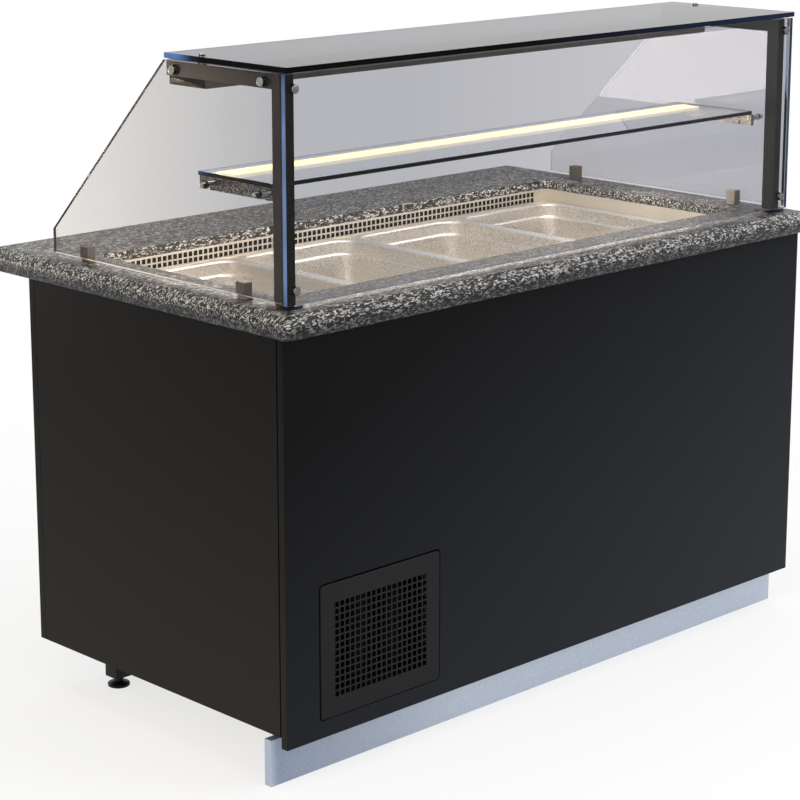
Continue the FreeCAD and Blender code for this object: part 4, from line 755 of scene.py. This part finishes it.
# The post's front face, behind the glass: flat black, no highlight.
post_front_black = grained("post_front_flat_black", "#040404", 0.8, specular=0.05, grain=800,
                     tones=((0.3, "#020202"), (0.7, "#080808")))
for side in ("left", "right"):
    frame_piece = eased("support_frame_" + side, 0.0016, anodised_with_painted_light[side])
    second_finish(frame_piece, post_front_black, lambda normal, middle: normal.y < -0.6)
    fit(frame_piece, "support_frame_" + side)

post_x, post_y = 0.712, -0.3895
flange = [(0.0328, 0.0), (0.033, 0.0003), (0.033, 0.0030), (0.0326, 0.0037), (0.0318, 0.004)]
stud, nut = [(0.005, 0.0), (0.005, 0.032)], [(0.0075, 0.0), (0.009, 0.0008), (0.009, 0.0072), (0.0075, 0.008)]
flanges = []
for x in (-post_x, post_x):
    flanges.append(turned("post_flange", x, post_y, stone_top, flange, anodised_with_painted_light["left"], steps=10))
    flanges.append(turned("flange_stud", x, post_y, stone_top, stud, plated, sign=-1, steps=4))
    flanges.append(turned("flange_nut", x, post_y, stone_top - slab, nut, plated, sign=-1, steps=1))
fit(joined("post_base_flanges_finished", *flanges), "post_base_flanges")


def glazing(name, near, far, gloss, way=(0.0, 1.0, 0.0)):
    """Tinted low-reflection glass, its tint easing one way across the pane as painted shade and reflection.
    """
    material, tree, shader = finish(name, near, 0.0)
    shader.inputs["Transmission Weight"].default_value = 1.0
    shader.inputs["IOR"].default_value = gloss
    painted_sheen_tint = painted_light_along(tree, way, -0.42, 0.25, ((0.0, near), (1.0, far)))
    tree.links.new(painted_sheen_tint, shader.inputs["Base Color"])
    return material


def pane(node, axis, face, edge):
    """Pane with polished arrises; its narrow faces take the edge finish."""
    piece = eased(node, 0.0009, face)
    second_finish(piece, edge, lambda normal, middle: (
        abs(normal[axis]) < 0.5 and (axis != 0 or normal.z >= -0.7)))
    second_finish(piece, bead, lambda normal, middle: abs(normal[axis]) < 0.5)
    return fit(piece, node)


# The panes' tints differ as painted light: the right pane paler as a painted reflection, the left paling and
# warming towards the rear, the front paling to the right.
front_tint = glazing("smoke_grey_glass", "#b4b5ba", "#c4c4c9", 1.2, way=(1.0, 0.0, 0.0))
side_tint = glazing("left_glass_painted_sheen", "#b2b2b5", "#e6e2de", 1.2)
right_tint = glazing("right_glass_painted_sheen", "#e2e3e8", "#ecebec", 1.45)
top_tint = glazing("deep_grey_glass", "#4c4e55", "#60626a", 1.13)
shelf_tint = glazing("clear_shelf_glass", "#eef1f5", "#eef1f5", 1.3)
glass_edge_painted_shade, tree, shader = finish("polished_edge_painted_shade", "#10151c", 0.12, specular=0.03)
# Painted reflection: nearly black where it is seen end on, blue towards the rear and a little to the right.
spot = lay(tree, "SeparateXYZ", {"Vector": lay(tree, "TexCoord").outputs["Object"]})
rearward = lay(tree, "MapRange", {"Value": spot.outputs["Y"], "From Min": -0.19, "From Max": -0.12})
rightward = lay(tree, "MapRange", {
    "Value": spot.outputs["X"], "From Min": -0.1, "From Max": 0.7, "To Max": 0.4})
turn = lay(tree, "Math", {0: rearward.outputs["Result"], 1: rightward.outputs["Result"]},
           operation="MAXIMUM")
painted_edge_tone = lay(tree, "ValToRGB", {"Fac": turn.outputs[0]}, (
    (0.0, "#050507"), (0.4, "#18233a"), (1.0, "#4f74b4")))
tree.links.new(painted_edge_tone.outputs["Color"], shader.inputs["Base Color"])
# Polished edge of the front glass: it carries the sheet's depth as slate blue.
blue_edge = grained("polished_edge_blue", "#44608f", 0.15, specular=0.3, grain=5,
                    tones=((0.35, "#2c3d60"), (0.65, "#6683b4")))
# Polished edge of the left pane, brownish grey as painted shade where it is seen against the dark.
left_edge_painted_shade = grained("polished_edge_grey_painted_shade", "#2d2a26", 0.15, specular=0.2, grain=5,
                    tones=((0.35, "#1d1b18"), (0.65, "#45413b")))

clear_edge = glazing("polished_edge_clear", "#9aa8c4", "#b4bfd4", 1.1)
# Cured silicone bead under the side panes: cream, softly glossy.
bead = grained("cream_silicone_bead", "#e6dcc8", 0.4, specular=0.3, grain=30,
               tones=((0.35, "#cfc4ae"), (0.65, "#f2ead9")))

pane("front_glass", 1, front_tint, blue_edge)
pane("side_glass_left", 0, side_tint, left_edge_painted_shade)
pane("side_glass_right", 0, right_tint, clear_edge)
pane("top_glass", 2, top_tint, glass_edge_painted_shade)
pane("shelf_glass", 2, shelf_tint, glass_edge_painted_shade)


# ---- Bolts, washers and foot blocks of the guard ----
# Round-capped stainless bolts with rubber washers behind the glass, and grey plastic
# blocks bonded to the side panes that stand on the stone.
def set_out(name, profile, places, turn, material, seat=0.0, steps=6):
    """Copies of one turned part at each place, all pointing one way from their seat."""
    fixing = turned(name + "_pattern", 0, 0, seat, profile, material, steps=steps)
    tree = bpy.data.node_groups.new(name + "_tree", "GeometryNodeTree")
    tree.interface.new_socket("Geometry", in_out="INPUT", socket_type="NodeSocketGeometry")
    tree.interface.new_socket("Fixing", in_out="INPUT", socket_type="NodeSocketObject")
    tree.interface.new_socket("Turn", in_out="INPUT", socket_type="NodeSocketVector")
    tree.interface.new_socket("Geometry", in_out="OUTPUT", socket_type="NodeSocketGeometry")
    given = tree.nodes.new("NodeGroupInput")
    part = lay(tree, "GeometryNodeObjectInfo", {"Object": given.outputs["Fixing"]})
    copies = lay(tree, "GeometryNodeInstanceOnPoints", {
        "Points": given.outputs["Geometry"], "Instance": part.outputs["Geometry"],
        "Rotation": given.outputs["Turn"]})
    whole = lay(tree, "GeometryNodeRealizeInstances", {0: copies.outputs[0]})
    coated = lay(tree, "GeometryNodeSetMaterial", {"Geometry": whole.outputs[0], "Material": material})
    lay(tree, "NodeGroupOutput", {0: coated.outputs[0]})
    marks = bpy.data.meshes.new(name)
    marks.from_pydata(places, [], [])
    piece = stand(name, marks)
    layout = piece.modifiers.new("layout", "NODES")
    layout.node_group = tree
    for socket in tree.interface.items_tree:
        if socket.in_out == "INPUT" and socket.name in ("Fixing", "Turn"):
            layout[socket.identifier] = {"Fixing": fixing, "Turn": turn}[socket.name]
    settle(piece)
    bpy.data.objects.remove(fixing)
    return piece


# Polished stainless: mirror-like with a faint haze.
polished_steel = grained("polished_stainless", "#918e88", 0.12, metallic=1.0, grain=160,
                         gloss=(0.08, 0.2))
# Moulded rubber: matt black with a grey bloom.
rubber = grained("black_rubber", "#0a0a0a", 0.7, specular=0.25, grain=300,
                 tones=((0.3, "#070707"), (0.7, "#131313")))


def washer_ring(rim, thick, arris):
    """Rubber washer on an 8 mm bolt."""
    bore, edge = 0.0042, rim - 0.0005
    return [(bore, 0.0), (edge, 0.0), (rim, arris), (rim, thick - arris), (edge, thick), (bore, thick)]


# Turned stainless caps of the front bolts: darker as a painted dark reflection, with fine rings in the gloss.
dark_reflection_steel = grained("stainless_painted_dark_reflection", "#6d6a66", 0.2, metallic=1.0, grain=260, gloss=(0.14, 0.28))
# Round caps 17 and 10 mm across, with softened rims: (radius, height) pairs.
cap = [(0.0066, 0.0), (0.0079, 0.0003), (0.0084, 0.001), (0.0085, 0.002), (0.0085, 0.0038), (0.0083, 0.004)]
small_cap = [(0.0038, 0.0), (0.0046, 0.0003), (0.0049, 0.001), (0.005, 0.002), (0.005, 0.0038),
             (0.0048, 0.004)]
shank, cap_height, washer_seat, quarter = 0.004, 0.004, 0.014, math.pi / 2
front_places = [(x, -0.4245, z) for x in (-post_x, post_x) for z in (0.9475, 1.3105)]
facing_in = (-quarter, 0, 0)
bolts = [set_out("front_bolts", cap + [(shank, cap_height), (shank, 0.030)], front_places, facing_in,
                 dark_reflection_steel)]
washers = [set_out("front_washers", washer_ring(0.010, 0.006, 0.0006), front_places, facing_in,
                   rubber, washer_seat)]
# The shelf's bolts carry a spacer tube that ends in its bracket.
arm_bolt = cap + [(shank, cap_height), (shank, 0.028)]
shelf_bolt = small_cap + [(shank, cap_height), (shank, 0.018), (0.0054, 0.018), (0.006, 0.0186),
                          (0.006, 0.0434), (0.0054, 0.044), (shank, 0.044), (shank, 0.052)]
for side in (-1, 1):
    facing_in = (0, -side * quarter, 0)
    for kind, bolt, washer_rim, ys, z in (("arm", arm_bolt, 0.010, (-0.3585, -0.1105), 1.320),
                                          ("shelf", shelf_bolt, 0.0065, (-0.3395, -0.1915), 1.115)):
        places = [(side * 0.740, y, z) for y in ys]
        bolts.append(set_out(kind + "_bolts", bolt, places, facing_in, polished_steel))
        washers.append(set_out(kind + "_washers", washer_ring(washer_rim, 0.004, 0.0005), places,
                               facing_in, rubber, washer_seat))
fit(joined("glass_bolts_finished", *bolts), "glass_bolts")
fit(joined("glass_washers_finished", *washers), "glass_washers")

# Pads carry the front of the top glass; screws with a cap above it hold its rear.
arm_top = 1.337
pad = [(0.008, 0.0), (0.0085, 0.0005), (0.0085, 0.0025), (0.008, 0.003)]
screw = pad + [(0.004, 0.003), (0.004, 0.013), (0.0063, 0.013), (0.0065, 0.0134), (0.0065, 0.0155),
               (0.006, 0.0166), (0.0048, 0.017)]
fixings = [set_out(fixing_name, profile, [(-post_x, y, arm_top), (post_x, y, arm_top)], (0, 0, 0),
                   polished_steel)
           for fixing_name, profile, y in (("front_pads", pad, -0.3745), ("rear_screws", screw, -0.1685))]
fit(joined("top_glass_fixings_finished", *fixings), "top_glass_fixings")

# Moulded grey-brown plastic: matt, painted paler towards the customer and darker towards the rear as painted
# light and shade.
block_plastic_painted_light = grained("grey_brown_plastic_painted_light", "#5a544d", 0.5, specular=0.2, grain=380,
                        tones=((0.3, "#b8b8b8"), (0.7, "#ffffff")),
                        drift=((0.0, 1.0, 0.0), -0.25, 0.1, ((0.0, "#a2988c"), (1.0, "#564f48"))))
blocks = eased("glass_foot_blocks", 0.0012, block_plastic_painted_light)
# A film of clear adhesive keeps each block a hair off the pane.
pane_inside, film = 0.726, 0.0005
for vertex in blocks.data.vertices:
    vertex.co.x = max(-pane_inside + film, min(pane_inside - film, vertex.co.x))
fit(blocks, "glass_foot_blocks")


# ---- Display shelf and lights ----
# A clear shelf on stainless bars with a dull mill finish. Opal strips under the shelf
# and under the canopy beam light the well with warm light.
# Mill-finish bar keeps coarse dark and pale scale marks.
mill_steel = grained("mill_finish_stainless", "#8c857c", 0.3, metallic=0.9, grain=420,
                     tones=((0.42, "#2a2724"), (0.5, "#7d766d"), (0.58, "#d6cfc4")))
fit(eased("shelf_brackets", 0.0009, mill_steel), "shelf_brackets")
fit(eased("canopy_beam", 0.0012, anodised_with_painted_light["left"]), "canopy_beam")

# Opal acrylic lit from behind: even warm white, faintly clouded.
opal = grained("lit_opal_acrylic", "#fff0cc", 0.4, grain=(6, 40, 40),
               tones=((0.3, "#ffebbb"), (0.7, "#fff2d2")), shows="Emission Color")
opal.node_tree.nodes["Principled BSDF"].inputs["Emission Strength"].default_value = 1.7
fit(eased("light_diffusers", 0.0012, opal), "light_diffusers")

strip_lo, strip_hi = (Vector(c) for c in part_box("light_diffusers"))
lamp_sides, strip_tilt = (strip_hi.x * 2 - 0.02, 0.05), (math.radians(24), 0.0, 0.0)
for lamp_name, y, z, watts in (("shelf_strip", -0.188, strip_lo.z - 0.002, 21.0),
                               ("canopy_strip", -0.137, 1.285, 7.0)):
    soft_lamp(lamp_name, lamp_sides, watts, "#fff5e8", (0.0, y, z), strip_tilt)


# ---- Rear side: cover, controls and doors ----
# A powder-coated steel cover holds the thermostat and two rocker switches; two
# laminated doors with bow handles close the cupboard below.
fit(eased("rear_cover_panel", 0.0004, vent_coat), "rear_cover_panel")
# Blackened steel screws: almost black, with a dry oxide sheen.
blackened_steel = grained("blackened_steel", "#0a0a0a", 0.4, metallic=0.7, grain=400, gloss=(0.3, 0.5))
recessed_screw = [(0.0036, 0.0), (0.0036, 0.0003), (0.0031, 0.0008), (0.002, 0.0011), (0.0017, 0.0011),
                  (0.0015, 0.0003), (0.0, 0.0002)]
post_screws = [set_out("post_screws", recessed_screw, [
    (side * 0.760, 0.3205, z) for z in (0.159, 0.377, 0.595, 0.813)], (0, side * quarter, 0),
    blackened_steel, steps=3) for side in (-1, 1)]
fit(joined("rear_corner_posts_finished", eased("rear_corner_posts", 0.0006, laminate), *post_screws),
    "rear_corner_posts")
cover_face = 0.3295
for door in ("door_left", "door_right"):
    leaf = eased(door, 0.0006, laminate)
    second_finish(leaf, polished_steel, lambda normal, middle: middle.y > cover_face + 0.0005)
    fit(leaf, door)
fit(eased("door_hinge_pins", 0.0004, plated), "door_hinge_pins")
fit(eased("cable_inlet", 0.0008, black_plastic), "cable_inlet")

# Smoked acrylic window of the display: near black and glossy.
smoked_window = grained("smoked_display_window", "#120404", 0.12, specular=0.5, grain=60,
                        gloss=(0.08, 0.18))
# Lit red bars behind the smoked window.
lit_digit = grained("lit_red_digit", "#ff5038", 0.5, grain=300, detail=1.0,
                    tones=((0.3, "#ff3a20"), (0.7, "#ff7a58")), shows="Emission Color")
lit_digit.node_tree.nodes["Principled BSDF"].inputs["Emission Strength"].default_value = 1.0
window_x, window_z, window_floor = -0.6015, 0.745, 0.3325
readout = [lofted("display_window", [(window_x, window_z, 0.0217, 0.0097, 0.0009, window_floor),
                                     (window_x, window_z, 0.0215, 0.0095, 0.0008, window_floor + 0.0006)],
                  smoked_window, axis="Y", steps=2)]
# Two digits of seven bars each: (across, up, half width, half height) of every lit bar.
long_half, short_half, aside, raised = 0.0022, 0.0005, 0.003, 0.00275
top_bar, middle_bar, low_bar = ((0, up, long_half, short_half) for up in (2 * raised, 0, -2 * raised))
left_up, left_down, right_up, right_down = (
    (across, up, short_half, long_half) for across in (-aside, aside) for up in (raised, -raised))
for digit_x, bars in ((-0.0055, (top_bar, left_up, left_down, right_up, right_down, low_bar)),
                      (0.0055, (left_up, middle_bar, right_up, right_down))):
    for across, up, half_across, half_up in bars:
        bar_x = window_x - digit_x - across
        readout.append(lofted("digit_bar", [
            (bar_x, window_z + up, half_across, half_up, 0.0004, window_floor + raise_by)
            for raise_by in (0.0005, 0.0007)], lit_digit, axis="Y", steps=1))
fit(joined("thermostat_module_finished", eased("thermostat_module", 0.0008, black_plastic), *readout),
    "thermostat_module")
for key in ("up", "down"):
    fit(eased("thermostat_button_" + key, 0.0008, block_plastic_painted_light), "thermostat_button_" + key)
fit(eased("switch_housings", 0.0004, black_plastic), "switch_housings")

# White pad print: matt, a little speckled where the ink is thin.
white_print = grained("white_print", "#d4d4d0", 0.6, specular=0.3, grain=900, detail=1.0,
                      tones=((0.3, "#c6c6c2"), (0.7, "#e2e2de")))
for key, plastic in (("power_switch", red_sleeve), ("light_switch", black_plastic)):
    rocker = eased(key, 0.0004, plastic)
    flats = sorted((p for p in rocker.data.polygons if p.normal.y > 0.7), key=lambda p: -p.area)[:2]
    flats.sort(key=lambda p: -p.center.z)
    line = lofted("on_line", [(0, 0, 0.0004, 0.0017, 0.0003, 0.0), (0, 0, 0.0004, 0.0017, 0.0003, 0.00006)],
                  white_print, steps=2)
    ring = lofted("off_ring", [(0, 0, 0.0018, 0.0018, 0.0018, 0.0), (0, 0, 0.0018, 0.0018, 0.0018, 0.00006),
                               (0, 0, 0.0013, 0.0013, 0.0013, 0.00006), (0, 0, 0.0013, 0.0013, 0.0013, 0.0)],
                  white_print, closed=True)
    for print_mark, flat in zip((line, ring), flats):
        out, across = flat.normal.copy(), Vector((1.0, 0.0, 0.0))
        up = out.cross(across)
        spot = flat.center
        print_mark.data.transform(Matrix(((across.x, up.x, out.x, spot.x), (across.y, up.y, out.y, spot.y),
                                          (across.z, up.z, out.z, spot.z), (0, 0, 0, 1))))
    fit(joined(key + "_finished_and_marked", rocker, line, ring), key)
